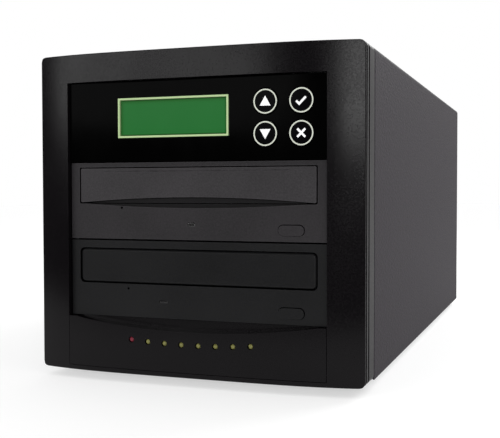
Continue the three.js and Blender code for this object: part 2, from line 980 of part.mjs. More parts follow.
function driveFrame() {
  const m = mechanism;
  const footZ = shellZ[0] + sheet + gap;
  const ledgeTop = tray.bottom - gap;
  const ledgeBottom = ledgeTop - m.ledgeThick;
  const half = [
    [m.halfWidth, footZ],
    [m.halfWidth, m.wallTop],
    [m.innerHalfWidth, m.wallTop],
    [m.innerHalfWidth, ledgeTop],
    [m.ledgeHalfWidth, ledgeTop],
    [m.ledgeHalfWidth, ledgeBottom],
    [m.innerHalfWidth, ledgeBottom],
    [m.innerHalfWidth, mechanismTop],
  ];
  const under = [
    [m.innerHalfWidth, m.floorZ],
    [m.innerHalfWidth, footZ],
  ];
  const mirrored = (points) => points.map(([x, z]) => [-x, z]).reverse();
  const section = outline([...under, ...half, ...mirrored(half), ...mirrored(under)]);
  const tub = prism(section, "y", [m.frontY, m.rearY]);
  const post = rod(
    "z",
    [gear.x, gear.y],
    gear.postRadius,
    [mechanismTop - m.floorThick / 2, gear.bottom - gap],
    smallSides,
  );
  const pin = rod(
    "z",
    [gear.x, gear.y],
    gear.pinRadius,
    [gear.bottom - 2 * gap, gear.pinTop],
    smallSides,
  );
  const earX = deckHalfWidth + sheet;
  const ears = [earX, -earX - deck.earThick].map((x) =>
    block(
      from(x, deck.earThick),
      around(deck.hingeY, deck.earLength),
      [mechanismTop - m.floorThick / 2, mechanismTop + deck.earHeight],
    ),
  );
  const pinHoles = rod(
    "x",
    [deck.hingeY, hingeZ],
    deck.pinHole,
    around(0, 2 * (earX + deck.earThick + overrun)),
    smallSides,
  );
  return joined([tub, post, pin, ...ears]).subtract(pinHoles);
}

// A row of rack teeth under the tray that mesh with the loading gear at rest.
function rackTeeth() {
  const pitchX = gear.x - gearRadius;
  const rootX = pitchX - gear.dedendum;
  const tipX = pitchX + gear.addendum;
  const tipHalf = toothHalf - gear.addendum * gear.flankSlope;
  const rootHalf = toothHalf + gear.dedendum * gear.flankSlope;
  const points = [[rootX - rack.back, rack.frontY]];
  const firstGap = Math.ceil((rack.frontY - gear.y) / toothPitch) + 1;
  const lastGap = Math.floor((tray.rearY - gear.y) / toothPitch) - 1;
  for (let i = firstGap; i <= lastGap; i += 1) {
    const y = gear.y + (i - 1 / 2) * toothPitch;
    points.push([rootX, y - rootHalf], [tipX, y - tipHalf]);
    points.push([tipX, y + tipHalf], [rootX, y + rootHalf]);
  }
  const rearY = gear.y + lastGap * toothPitch;
  points.splice(1, 0, [rootX, rack.frontY]);
  points.push([rootX, rearY], [rootX - rack.back, rearY]);
  return prism(outline(points), "z", [rack.bottom, tray.bottom + tray.floor / 2]);
}

function discTray() {
  const top = tray.bottom + tray.height;
  const body = block(
    around(0, 2 * trayHalfWidth),
    [door.thick + gap, tray.rearY],
    [tray.bottom, top],
  );
  const centre = [0, tray.centreY];
  const wellFloor = tray.bottom + tray.floor;
  const well = rod("z", centre, wellRadius, [wellFloor, top + overrun], fineSides);
  const smallWell = rod(
    "z",
    centre,
    tray.smallWellRadius,
    [wellFloor - tray.smallWellDrop, wellFloor + overrun],
    fineSides,
  );
  const slot = block(
    around(0, tray.slotWidth),
    [tray.slotFrontY, tray.rearY + overrun],
    past([tray.bottom, top]),
  );
  return cut(body, [well, smallWell, slot]).add(rackTeeth());
}

function loadingGear() {
  const tipHalf = (toothHalf - gear.addendum * gear.flankSlope) / (gearRadius + gear.addendum);
  const rootHalf = (toothHalf + gear.dedendum * gear.flankSlope) / (gearRadius - gear.dedendum);
  const at = (radius, angle) => [radius * Math.cos(angle), radius * Math.sin(angle)];
  const points = [];
  for (let i = 0; i < gear.teeth; i += 1) {
    const middle = Math.PI + (2 * Math.PI * i) / gear.teeth;
    points.push(at(gearRadius - gear.dedendum, middle - rootHalf));
    points.push(at(gearRadius + gear.addendum, middle - tipHalf));
    points.push(at(gearRadius + gear.addendum, middle + tipHalf));
    points.push(at(gearRadius - gear.dedendum, middle + rootHalf));
  }
  const height = [gear.bottom, gear.top];
  const bore = rod("z", [0, 0], gear.pinRadius + gap / 3, past(height), smallSides);
  return prism(outline(points), "z", height).subtract(bore);
}

function driveDeck() {
  const plate = block(
    around(0, 2 * deckHalfWidth),
    [deck.frontY, deck.rearY],
    [deckBottom, deckTop],
  );
  const motor = rod(
    "z",
    [0, tray.centreY],
    deck.motorRadius,
    [deckTop - deck.thick / 2, deck.motorTop],
    roundSides,
  );
  const walls = [deck.railWallFrontY, deck.railWallRearY].map((y) =>
    block(
      around(0, 2 * (deckHalfWidth - deck.railWallInset)),
      from(y, deck.railWallThick),
      [deckTop - deck.thick / 2, deck.railWallTop],
    ),
  );
  const rails = [-railX, railX].map((x) =>
    rod(
      "y",
      [x, deck.railZ],
      deck.railRadius,
      [deck.railWallFrontY + sheet, deck.railWallRearY + sheet],
      smallSides,
    ),
  );
  const pins = rod(
    "x",
    [deck.hingeY, hingeZ],
    deck.pinRadius,
    around(0, 2 * (deckHalfWidth + deck.earThick)),
    smallSides,
  );
  const shaftHole = rod(
    "z",
    [0, tray.centreY],
    spindle.shaftHole,
    [spindle.shaftBottom - gap, deck.motorTop + overrun],
    smallSides,
  );
  return joined([plate, motor, ...walls, ...rails, pins]).subtract(shaftHole);
}

// The rotor of the spindle motor, with the pad and hub that carry a disc.
function spindleBody() {
  const cupBottom = deck.motorTop + gap;
  return joined([
    rod("z", [0, 0], spindle.cupRadius, [cupBottom, spindle.cupTop], roundSides),
    rod("z", [0, 0], spindle.padRadius, [spindle.cupTop - gap, spindle.padTop], roundSides),
    rod("z", [0, 0], spindle.hubRadius, [spindle.padTop - gap, spindle.hubTop], roundSides),
    rod("z", [0, 0], spindle.shaftRadius, [spindle.shaftBottom, cupBottom + gap], smallSides),
  ]);
}

function laserSled() {
  const length = around(sled.centreY, sled.length);
  const body = block(around(0, 2 * (railX + sled.bearing)), length, [sled.bottom, sled.top]);
  const holes = [-railX, railX].map((x) =>
    rod("y", [x, deck.railZ], sled.holeRadius, past(length), smallSides),
  );
  const lens = rod(
    "z",
    [0, sled.centreY],
    sled.lensRadius,
    [sled.top - sled.lensHeight, sled.top + sled.lensHeight],
    smallSides,
  );
  return cut(body, holes).add(lens);
}

function ejectButton() {
  const cap = prism(
    roundedRectangle(around(0, eject.width), around(0, eject.height), eject.radius),
    "y",
    [-eject.proud, drive.faceThick + gap],
  );
  const flange = block(
    around(0, eject.width + 2 * eject.flange),
    from(drive.faceThick + gap, eject.flangeThick),
    around(0, eject.height + 2 * eject.flange),
  );
  return cap.add(flange);
}

function driveLens(style) {
  return prism(slotOutline(style.lens, 0), "y", [0, drive.faceThick]);
}

function driveCircuitBoard() {
  const b = driveBoard;
  const low = shellZ[0] + sheet + gap;
  const rear = shellFront + drive.bodyDepth - b.plugInset;
  const top = low + b.thick;
  const inner = low + b.thick / 2;
  const boardRear = rear - sheet - gap;
  return joined([
    block(around(0, drive.bodyWidth - 2 * b.sideInset), [b.frontY, boardRear], [low, top]),
    block(around(0, b.chipSize), around(b.chipY, b.chipSize), [inner, top + b.chipThick]),
    block(b.plugX, [boardRear - b.plugDepth, rear], [inner, top + b.plugHeight - b.thick]),
    block(
      around(eject.x, eject.height),
      from(b.frontY, b.switchLength),
      [inner, top + b.switchHeight],
    ),
  ]);
}

for (const [level, style] of Object.entries(driveStyles)) {
  const group = new THREE.Group();
  const height = level === "upper" ? stackBottom + drivePitch : stackBottom;
  group.position.set(0, drive.faceSetBack, height);
  const doorBody = prism(
    doorOutline(style, 0, style.doorArch),
    "y",
    [0, door.thick],
  );
  group.add(piece(`${level}_drive_shell`, driveShell(), finishes.bareSteel));
  group.add(piece(`${level}_drive_face`, driveFace(style), finishes.drivePlastic));
  group.add(piece(`${level}_drive_frame`, driveFrame(), finishes.trayPlastic));
  group.add(piece(`${level}_disc_tray`, discTray(), finishes.trayPlastic));
  group.add(piece(`${level}_tray_door`, doorBody, finishes.drivePlastic));
  group.add(piece(`${level}_drive_deck`, driveDeck(), finishes.bareSteel));
  group.add(piece(`${level}_laser_sled`, laserSled(), finishes.bareSteel));
  group.add(piece(`${level}_drive_lens`, driveLens(style), finishes.smokedLens));
  group.add(piece(`${level}_drive_board`, driveCircuitBoard(), finishes.board));
  const button = piece(`${level}_eject_button`, ejectButton(), finishes.drivePlastic);
  button.position.set(eject.x, 0, eject.z);
  const wheel = piece(`${level}_loading_gear`, loadingGear(), finishes.whitePlastic);
  wheel.position.set(gear.x, gear.y, 0);
  const rotor = piece(`${level}_spindle`, spindleBody(), finishes.bareSteel);
  rotor.position.set(0, tray.centreY, 0);
  group.add(button, wheel, rotor);
  tower.add(group);
}

// Power supply, in a group whose rear face lies at y 0 and whose foot lies at z 0

const supplyFront = 240;
const supply = {
  width: 150,
  height: 86,
  depth: caseDepth - supplyFront,
  postRadius: 2.5,
  postHeight: 3,
  postInset: 14,
  leadHoleRadius: 6,
  leadHoleX: -50,
  leadHoleZ: 60,
};
const fan = {
  margin: 3,
  sideGap: 2,
  depth: 20,
  wall: 2,
  hubRadius: 14,
  strutWidth: 4,
  strutThick: 2.5,
  rotorGap: 0.4,
  tipGap: 2,
  bladeThick: 1.6,
  bladeDepth: 18,
  bladeTurn: 0.7,
  blades: 7,
  rotorDepth: 15,
  shaftRadius: 1.5,
};
const fanSize = supply.height - 2 * fan.margin;
const fanX = fan.sideGap + (fanSize - supply.width) / 2;
const fanBoreRadius = fanSize / 2 - fan.wall;
const grille = { innerRadius: 10, edge: 3.1, bar: 2.7, rings: 3, crossWidth: 3.5 };
const grillePitch = (fanBoreRadius - grille.edge + grille.bar - grille.innerRadius) / grille.rings;
const inletHeight = 52;
const inletLift = 1;
const inlet = {
  x: 48,
  bottom: (supply.height - inletHeight) / 2 + inletLift,
  width: 27,
  height: inletHeight,
  flange: 2,
  flangeThick: 2,
  depth: 22,
  socketWidth: 22,
  socketHeight: 15,
  socketDepth: 17,
  socketRise: 30,
  bladeWidth: 2,
  bladeHeight: 4,
  bladeLength: 11,
  bladeSpread: 7,
  bladeOffset: 2.5,
  wellWidth: 14,
  wellHeight: 21,
  wellDepth: 12,
  wellRise: 4,
};
const rocker = {
  width: 13.2,
  halfHeight: 9.8,
  lip: 2.6,
  dip: 1.2,
  keel: 6,
  keelHalf: 3,
  edge: 1.5,
  pinRadius: 1.2,
  pinHole: 1.4,
  pinLength: 1.2,
  pivotDepth: 1,
  tilt: 0.13,
};
const fanCentre = [fanX, supply.height / 2];
const innerRear = -sheet;

function grilleSlots() {
  const depth = past([-sheet, 0]);
  const rings = Array.from({ length: grille.rings }, (unused, i) => {
    const inner = grille.innerRadius + i * grillePitch;
    const outer = inner + grillePitch - grille.bar;
    return rod("y", fanCentre, outer, depth, roundSides).subtract(
      rod("y", fanCentre, inner, past(depth), roundSides),
    );
  });
  const crossAcross = block(
    around(fanX, fanSize),
    past(depth),
    around(fanCentre[1], grille.crossWidth),
  );
  const crossUp = block(
    around(fanX, grille.crossWidth),
    past(depth),
    around(fanCentre[1], fanSize),
  );
  return cut(joined(rings), [crossAcross, crossUp]);
}

function supplyHousing() {
  const depth = [-supply.depth, 0];
  const outside = block(around(0, supply.width), depth, [0, supply.height]);
  const inside = block(
    around(0, supply.width - 2 * sheet),
    [depth[0] + sheet, innerRear],
    [sheet, supply.height - sheet],
  );
  const inletHole = block(
    around(inlet.x, inlet.width + 2 * gap),
    past([-sheet, 0]),
    [inlet.bottom - gap, inlet.bottom + inlet.height + gap],
  );
  const leadHole = rod(
    "y",
    [supply.leadHoleX, supply.leadHoleZ],
    supply.leadHoleRadius,
    past([depth[0], depth[0] + sheet]),
    smallSides,
  );
  const posts = cornerPlaces(around(0, supply.width), supplyBoardRange(), supply.postInset).map(
    (place) =>
      rod("z", place, supply.postRadius, [sheet / 2, sheet + supply.postHeight], smallSides),
  );
  return joined([cut(outside, [inside, inletHole, leadHole, grilleSlots()]), ...posts]);
}

// The space along Y that the power board may take, in front of the fan and the inlet.
function supplyBoardRange() {
  return [-supply.depth, -sheet - fan.depth - 2 * gap];
}

const supplyBoardParts = {
  thick: 1.6,
  margin: 6,
  sinkThick: 3,
  sinkHeight: 55,
  sinkLength: supply.depth / 2,
  sinkX: 28,
  coilSize: 32,
  coilHeight: 30,
  canRadius: 11,
  canHeight: 34,
  canX: -52,
};

function supplyBoard() {
  const b = supplyBoardParts;
  const low = sheet + supply.postHeight + gap;
  const inner = low + b.thick / 2;
  const top = low + b.thick;
  const [front, rear] = supplyBoardRange();
  const range = [front + b.margin, rear - b.margin];
  const middle = (range[0] + range[1]) / 2;
  const sinks = [-b.sinkX, b.sinkX].map((x) =>
    block(around(x, b.sinkThick), around(middle, b.sinkLength), [inner, top + b.sinkHeight]),
  );
  const coil = block(
    around(0, b.coilSize),
    around(middle, b.coilSize),
    [inner, top + b.coilHeight],
  );
  const cans = [-b.canRadius, b.canRadius].map((offset) =>
    rod(
      "z",
      [b.canX, middle + offset + Math.sign(offset) * b.thick],
      b.canRadius,
      [inner, top + b.canHeight],
      roundSides,
    ),
  );
  const plate = block(around(0, supply.width - 2 * b.margin), range, [low, top]);
  return joined([plate, ...sinks, coil, ...cans]);
}

const fanRear = innerRear - gap;
const fanFront = fanRear - fan.depth;

function fanFrame() {
  const depth = [fanFront, fanRear];
  const box = block(around(fanX, fanSize), depth, around(fanCentre[1], fanSize));
  const bore = rod("y", fanCentre, fanBoreRadius, past(depth), fineSides);
  const strutDepth = from(fanFront, fan.strutThick);
  const hub = rod("y", fanCentre, fan.hubRadius, strutDepth, roundSides);
  const reach = 2 * fanBoreRadius + fan.strutThick;
  const across = block(around(fanX, reach), strutDepth, around(fanCentre[1], fan.strutWidth));
  const up = block(around(fanX, fan.strutWidth), strutDepth, around(fanCentre[1], reach));
  const shaftHole = rod(
    "y",
    fanCentre,
    fan.shaftRadius + gap / 3,
    past(strutDepth),
    smallSides,
  );
  return joined([box.subtract(bore), hub, across, up]).subtract(shaftHole);
}

function fanRotor() {
  const front = fanFront + fan.strutThick + fan.rotorGap;
  const depth = from(front, fan.rotorDepth);
  const middle = (depth[0] + depth[1]) / 2;
  const hub = rod("y", [0, 0], fan.hubRadius, depth, roundSides);
  const shaft = rod("y", [0, 0], fan.shaftRadius, [fanFront, front + gap], smallSides);
  const blades = Array.from({ length: fan.blades }, (unused, i) => {
    const length = fanBoreRadius - fan.tipGap - fan.hubRadius / 2;
    const blade = new THREE.BoxGeometry(length, fan.bladeThick, fan.bladeDepth);
    blade.rotateX(fan.bladeTurn);
    blade.translate(fan.hubRadius / 2 + length / 2, middle, 0);
    blade.translate(0, -middle, 0);
    blade.rotateY((2 * Math.PI * i) / fan.blades);
    blade.translate(0, middle, 0);
    return toSolid(blade);
  });
  return joined([hub, shaft, ...blades]);
}

// The place of the rocker's pivot in the power supply's frame: y, z.
const rockerPivot = [
  inlet.flangeThick + gap - rocker.pivotDepth,
  inlet.bottom + inlet.wellRise + inlet.wellHeight / 2,
];

function mainsInlet() {
  const front = gap + inlet.flangeThick;
  const middleZ = inlet.bottom + inlet.height / 2;
  const body = block(
    around(inlet.x, inlet.width),
    [-inlet.depth, gap + inlet.flangeThick / 2],
    around(middleZ, inlet.height),
  );
  const flange = block(
    around(inlet.x, inlet.width + 2 * inlet.flange),
    from(gap, inlet.flangeThick),
    around(middleZ, inlet.height + 2 * inlet.flange),
  );
  const socketBack = front - inlet.socketDepth;
  const socketZ = from(inlet.bottom + inlet.socketRise, inlet.socketHeight);
  const socket = block(
    around(inlet.x, inlet.socketWidth),
    [socketBack, front + overrun],
    socketZ,
  );
  const well = block(
    around(inlet.x, inlet.wellWidth),
    [front - inlet.wellDepth, front + overrun],
    from(inlet.bottom + inlet.wellRise, inlet.wellHeight),
  );
  const pinHoles = rod(
    "x",
    rockerPivot,
    rocker.pinHole,
    around(inlet.x, inlet.wellWidth + 2 * overrun),
    smallSides,
  );
  const socketMiddle = (socketZ[0] + socketZ[1]) / 2;
  const bladePlaces = [
    [-inlet.bladeSpread, -inlet.bladeOffset],
    [0, inlet.bladeOffset],
    [inlet.bladeSpread, -inlet.bladeOffset],
  ];
  const blades = bladePlaces.map(([x, z]) =>
    block(
      around(inlet.x + x, inlet.bladeWidth),
      [socketBack - sheet, socketBack + inlet.bladeLength],
      around(socketMiddle + z, inlet.bladeHeight),
    ),
  );
  return joined([cut(body.add(flange), [socket, well, pinHoles]), ...blades]);
}

function switchRocker() {
  const profile = outline([
    [rocker.lip, rocker.halfHeight],
    [rocker.dip, 0],
    [rocker.lip, -rocker.halfHeight],
    [rocker.lip - rocker.edge, -rocker.halfHeight],
    [-rocker.keel, -rocker.keelHalf],
    [-rocker.keel, rocker.keelHalf],
    [rocker.lip - rocker.edge, rocker.halfHeight],
  ]);
  const body = prism(profile, "x", around(0, rocker.width));
  const pins = rod(
    "x",
    [0, 0],
    rocker.pinRadius,
    around(0, rocker.width + 2 * rocker.pinLength),
    smallSides,
  );
  return body.add(pins);
}

const rearPanel = {
  supplyMargin: 2,
  ventWidth: 3,
  ventHeight: 30,
  ventPitch: 7,
  vents: 14,
  ventTopInset: 26,
};

function rearPanelBody() {
  const z = [sheet + gap, towerHeight - sheet - gap];
  const corners = roundedRectangle(around(0, 2 * insideHalfWidth), z, cover.innerRadius);
  const plate = prism(corners, "y", rearPanelDepth);
  const supplyOpening = block(
    around(0, supply.width - 2 * rearPanel.supplyMargin),
    past(rearPanelDepth),
    [sheet + gap + rearPanel.supplyMargin, sheet + gap + supply.height - rearPanel.supplyMargin],
  );
  const reach = (rearPanel.ventPitch * (rearPanel.vents - 1)) / 2;
  const ventTop = towerHeight - rearPanel.ventTopInset;
  const vents = Array.from({ length: rearPanel.vents }, (unused, i) =>
    block(
      around(i * rearPanel.ventPitch - reach, rearPanel.ventWidth),
      past(rearPanelDepth),
      [ventTop - rearPanel.ventHeight, ventTop],
    ),
  );
  return cut(plate, [supplyOpening, ...vents, ...screwHoles(rearPanelDepth)]);
}

const supplyGroup = new THREE.Group();
supplyGroup.position.set(0, rearPanelDepth[0] - gap, sheet + gap);
supplyGroup.add(piece("power_supply_housing", supplyHousing(), finishes.bareSteel));
supplyGroup.add(piece("power_supply_board", supplyBoard(), finishes.board));
supplyGroup.add(piece("fan_frame", fanFrame(), finishes.trayPlastic));
supplyGroup.add(piece("mains_inlet", mainsInlet(), finishes.trayPlastic));
const rotorMesh = piece("fan_rotor", fanRotor(), finishes.trayPlastic);
rotorMesh.position.set(fanCentre[0], 0, fanCentre[1]);
const rockerMesh = piece("switch_rocker", switchRocker(), finishes.trayPlastic);
rockerMesh.position.set(inlet.x, rockerPivot[0], rockerPivot[1]);
rockerMesh.rotation.x = rocker.tilt;
supplyGroup.add(rotorMesh, rockerMesh);
tower.add(supplyGroup);
tower.add(piece("rear_panel", rearPanelBody(), finishes.bareSteel));

// Leads between the drives, the controller board and the power supply

const leads = {
  upper_data_lead: {
    radius: 1.8,
    finish: finishes.lead,
    route: [
      [28, 176.6, 76],
      [28, 186, 78],
      [28, 190, 96],
      [28, 182, 118],
      [28, 160, 127.5],
      [28, 140.6, 127.5],
    ],
  },
  lower_data_lead: {
    radius: 1.8,
    finish: finishes.lead,
    route: [
      [20, 176.6, 34],
      [20, 200, 38],
      [10, 206, 76],
      [-14, 200, 112],
      [-28, 170, 127.5],
      [-28, 140.6, 127.5],
    ],
  },
  power_lead: {
    radius: 2.5,
    finish: finishes.darkLead,
    route: [
      [-50, 237, 61.3],
      [-50, 222, 61],
      [-30, 212, 50],
      [20, 208, 38],
      [42, 192, 34],
      [42, 176.6, 34],
    ],
  },
};
const leadSides = 8;
const leadSteps = 14;

function leadBody({ radius, route }) {
  const path = new THREE.CatmullRomCurve3(route.map((place) => new THREE.Vector3(...place)));
  const section = new THREE.Shape();
  section.absarc(0, 0, radius, 0, 2 * Math.PI, false);
  return new THREE.ExtrudeGeometry(section, {
    steps: leadSteps,
    curveSegments: leadSides / 2,
    extrudePath: path,
  });
}

for (const [name, lead] of Object.entries(leads)) {
  tower.add(piece(name, toSolid(leadBody(lead)), lead.finish));
}

// The tower stands on its feet, centred over its footprint, screw heads included.
const part = new THREE.Group();
const fullDepth = caseDepth + gap + screws.headThick;
tower.position.set(0, -fullDepth / 2, footHeight);
part.add(tower);
part.name = "duplicator_tower";

export default part;
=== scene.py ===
import math

import bpy
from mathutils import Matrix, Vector


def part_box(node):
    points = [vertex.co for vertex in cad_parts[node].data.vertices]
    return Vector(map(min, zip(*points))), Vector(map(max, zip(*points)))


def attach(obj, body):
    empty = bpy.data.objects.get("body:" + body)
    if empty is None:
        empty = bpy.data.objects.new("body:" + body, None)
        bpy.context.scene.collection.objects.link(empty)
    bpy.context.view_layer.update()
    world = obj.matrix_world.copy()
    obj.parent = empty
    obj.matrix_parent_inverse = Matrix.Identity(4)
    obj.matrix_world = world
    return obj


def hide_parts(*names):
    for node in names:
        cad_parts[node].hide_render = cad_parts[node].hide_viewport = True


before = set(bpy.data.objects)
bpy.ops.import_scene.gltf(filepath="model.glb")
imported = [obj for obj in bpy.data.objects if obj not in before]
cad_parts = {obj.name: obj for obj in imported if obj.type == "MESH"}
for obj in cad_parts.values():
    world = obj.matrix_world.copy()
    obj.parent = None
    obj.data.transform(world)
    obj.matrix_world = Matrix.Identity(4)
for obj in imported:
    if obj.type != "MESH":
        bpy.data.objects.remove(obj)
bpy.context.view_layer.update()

# Steel chassis: base pan, two bay walls and rear panel.
# Each is folded from 1 mm sheet, zinc plated before it is cut, so its faces carry faint crystals
# and drag marks, and its cut edges are a little brighter. The rivets between them aren't drawn.
mm = 0.001
bare_edge = 0.15 * mm
sharp_turn = math.radians(35)
flat_turn = math.radians(0.3)
weld_reach = 0.001 * mm
noise_low = 0.3
noise_high = 0.7
# Reach of the brighter edges: real wear on cut zinc edges, and a painted highlight on lens rims.
wear_and_glint_edge = 0.6 * mm
worn_patch = 5 * mm
crystal_size = 7 * mm
drag_mark_size = 0.5 * mm
fine_relief = 0.01 * mm


def colour_of(tone, share=1, more=0):
    """A tone in steps from 0 to 255, times a share, as the shader's linear values."""
    steps = [min(255, share * step + more) / 255 for step in tone]
    linear = [s / 12.92 if s <= 0.04045 else ((s + 0.055) / 1.055) ** 2.4 for s in steps]
    return (*linear, 1)


def pick_up(piece):
    """Selects one piece alone and makes it the active one."""
    bpy.ops.object.select_all(action="DESELECT")
    piece.select_set(True)
    bpy.context.view_layer.objects.active = piece


def round_edges(piece, radius, steps, **limit):
    """Rounds the edges that the limit picks, and shades the faces between sharp turns as one."""
    pick_up(piece)
    rounding = piece.modifiers.new("rounding", "BEVEL")
    rounding.width = radius
    rounding.segments = steps
    for setting, value in limit.items():
        setattr(rounding, setting, value)
    bpy.ops.object.modifier_apply(modifier="rounding")
    bpy.ops.object.shade_smooth_by_angle(angle=sharp_turn)
    shading = piece.modifiers.new("shading", "WEIGHTED_NORMAL")
    shading.keep_sharp = True
    bpy.ops.object.modifier_apply(modifier="shading")


def soften(piece, radius, steps=2):
    """Rounds every edge that turns sharply."""
    round_edges(piece, radius, steps, limit_method="ANGLE", angle_limit=sharp_turn)


def merged_copy(node, name):
    """A copy of a CAD node with its loose triangles merged into whole faces."""
    piece = bpy.data.objects.new(name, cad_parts[node].data.copy())
    bpy.context.scene.collection.objects.link(piece)
    piece.data.materials.clear()
    pick_up(piece)
    bpy.ops.mesh.customdata_custom_splitnormals_clear()
    bpy.ops.object.mode_set(mode="EDIT")
    bpy.ops.mesh.select_all(action="SELECT")
    bpy.ops.mesh.remove_doubles(threshold=weld_reach)
    bpy.ops.mesh.dissolve_limited(angle_limit=flat_turn)
    bpy.ops.mesh.select_all(action="DESELECT")
    bpy.ops.object.mode_set(mode="OBJECT")
    return piece


def coat(piece, finish):
    """Gives the whole piece one finish."""
    piece.data.materials.clear()
    piece.data.materials.append(finish)


def fit(piece, body, node):
    """Gives a finished piece its place in the assembly."""
    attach(piece, body)
    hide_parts(node)


def make_piece(node, name, body, finish, radius, steps=2):
    """A merged copy of a CAD node, with soft edges, a finish and its place in the assembly."""
    piece = merged_copy(node, name)
    soften(piece, radius, steps)
    coat(piece, finish)
    fit(piece, body, node)
    return piece


def begin_finish(name):
    """A new material, its node tree and its shader."""
    material = bpy.data.materials.new(name)
    material.use_nodes = True
    return material, material.node_tree, material.node_tree.nodes["Principled BSDF"]


def feed(tree, node, feeds):
    """Gives each socket that is named a plain value, or a link from another node."""
    for socket, value in feeds.items():
        if isinstance(value, bpy.types.NodeSocket):
            tree.links.new(value, node.inputs[socket])
        else:
            node.inputs[socket].default_value = value


def put(tree, kind, feeds, **settings):
    """Adds a node of that kind, with its settings and what feeds its sockets."""
    node = tree.nodes.new(kind)
    for setting, value in settings.items():
        setattr(node, setting, value)
    feed(tree, node, feeds)
    return node


def pattern(tree, kind, size, stretch=(1, 1, 1), **settings):
    """A pattern that is laid out in the piece's own coordinates, in steps of `size` metres."""
    place = put(tree, "ShaderNodeTexCoord", {})
    scale = [share / size for share in stretch]
    feeds = {"Vector": place.outputs["Object"], "Scale": scale}
    mapping = put(tree, "ShaderNodeMapping", feeds)
    return put(tree, kind, {"Vector": mapping.outputs["Vector"], "Scale": 1}, **settings)


def grain(tree, size, detail=2, stretch=(1, 1, 1)):
    """Soft noise with grains about `size` metres across."""
    noise = pattern(tree, "ShaderNodeTexNoise", size, stretch)
    feed(tree, noise, {"Detail": detail})
    return noise.outputs["Fac"]


def ranged(tree, value, low, high, start=noise_low, end=noise_high):
    """Spreads the value's stretch from start to end, or the noise's usual stretch, low to high."""
    feeds = {"Value": value, "From Min": start, "From Max": end, "To Min": low, "To Max": high}
    return put(tree, "ShaderNodeMapRange", feeds).outputs["Result"]


def blended(tree, share, first, second):
    """Goes from the first colour to the second as share goes from 0 to 1."""
    feeds = {"Factor": share, "A": first, "B": second}
    return put(tree, "ShaderNodeMix", feeds, data_type="RGBA").outputs["Result"]


def maths(tree, operation, *values):
    """One step of arithmetic on those values."""
    step = put(tree, "ShaderNodeMath", dict(enumerate(values)), operation=operation)
    return step.outputs["Value"]


def grey_of(tree, colour):
    """A colour's brightness."""
    return put(tree, "ShaderNodeRGBToBW", {"Color": colour}).outputs["Val"]


def raise_surface(tree, shader, height, depth):
    """Lets a height pattern stand `depth` metres proud of the surface."""
    bump = put(tree, "ShaderNodeBump", {"Distance": depth, "Height": height})
    feed(tree, shader, {"Normal": bump.outputs["Normal"]})


def edge_share(tree, radius):
    """Near 1 within about `radius` of an edge and 0 elsewhere, broken up as rubbed edges are."""
    rounded = put(tree, "ShaderNodeBevel", {"Radius": radius}, samples=4)
    surface = put(tree, "ShaderNodeNewGeometry", {})
    normals = {0: rounded.outputs["Normal"], 1: surface.outputs["Normal"]}
    alike = put(tree, "ShaderNodeVectorMath", normals, operation="DOT_PRODUCT")
    near = ranged(tree, alike.outputs["Value"], 0, 1, start=0.99, end=0.8)
    patches = ranged(tree, grain(tree, worn_patch, detail=4), 0.2, 1, start=0.35, end=0.65)
    return maths(tree, "MULTIPLY", near, patches)


def zinc_plate(name, tone):
    """Plated sheet: crystals some millimetres wide, fine drag marks and brighter cut edges."""
    material, tree, shader = begin_finish(name)
    crystals = pattern(tree, "ShaderNodeTexVoronoi", crystal_size)
    crystal_tone = maths(tree, "MULTIPLY", grey_of(tree, crystals.outputs["Color"]), 0.55)
    marks = grain(tree, drag_mark_size, detail=3, stretch=(1, 0.02, 1))
    cast = maths(tree, "ADD", crystal_tone, marks)
    cast_span = {"start": 0.4, "end": 1.1}
    share = ranged(tree, cast, 0, 1, **cast_span)
    face = blended(tree, share, colour_of(tone, 0.84), colour_of(tone))
    colour = blended(tree, edge_share(tree, wear_and_glint_edge), face, colour_of(tone, 1.12))
    rough = ranged(tree, cast, 0.34, 0.5, **cast_span)
    feed(tree, shader, {"Base Color": colour, "Roughness": rough, "Metallic": 1})
    raise_surface(tree, shader, marks, fine_relief)
    return material


chassis_zinc = zinc_plate("chassis_zinc", (176, 178, 180))
for node in ("base_pan", "bay_wall_left", "bay_wall_right", "rear_panel"):
    make_piece(node, node + "_sheet", "case", chassis_zinc, bare_edge, steps=1)

# Rubber feet.
# Four feet moulded in black rubber, each with a stem that is pushed through a hole in the base
# pan. The skin is matt, with a pale and cloudy bloom.
foot_rounding = 0.8 * mm
bloom_size = 4 * mm
skin_size = 0.4 * mm
skin_relief = 0.03 * mm


def moulded_rubber(name):
    """Matt black rubber with a cloudy bloom and a fine skin."""
    material, tree, shader = begin_finish(name)
    bloom = grain(tree, bloom_size, detail=4)
    colour = blended(tree, bloom, colour_of((20, 20, 20)), colour_of((38, 37, 36)))
    rough = ranged(tree, bloom, 0.7, 0.9)
    feed(tree, shader, {"Base Color": colour, "Roughness": rough, "Specular IOR Level": 0.25})
    raise_surface(tree, shader, grain(tree, skin_size), skin_relief)
    return material


foot_rubber = moulded_rubber("foot_rubber")
for node in ("foot_front_left", "foot_front_right", "foot_rear_left", "foot_rear_right"):
    make_piece(node, node + "_rubber", "case", foot_rubber, foot_rounding, steps=3)

# Optical drives: shell, inner frame and circuit board.
# The shell is thin plated steel, the frame that carries the tray is moulded in dark plastic, and
# the circuit board lies in the bottom of the shell.
drive_places = ("upper", "lower")
frame_rounding = 0.3 * mm
rubbed_edge = 0.8 * mm
flow_size = 45 * mm
fine_grain = 0.5 * mm
track_pitch = 3.2 * mm
track_relief = 0.03 * mm
lacquer_cloud = 12 * mm
plate_margin = 0.05 * mm
facing = 0.9


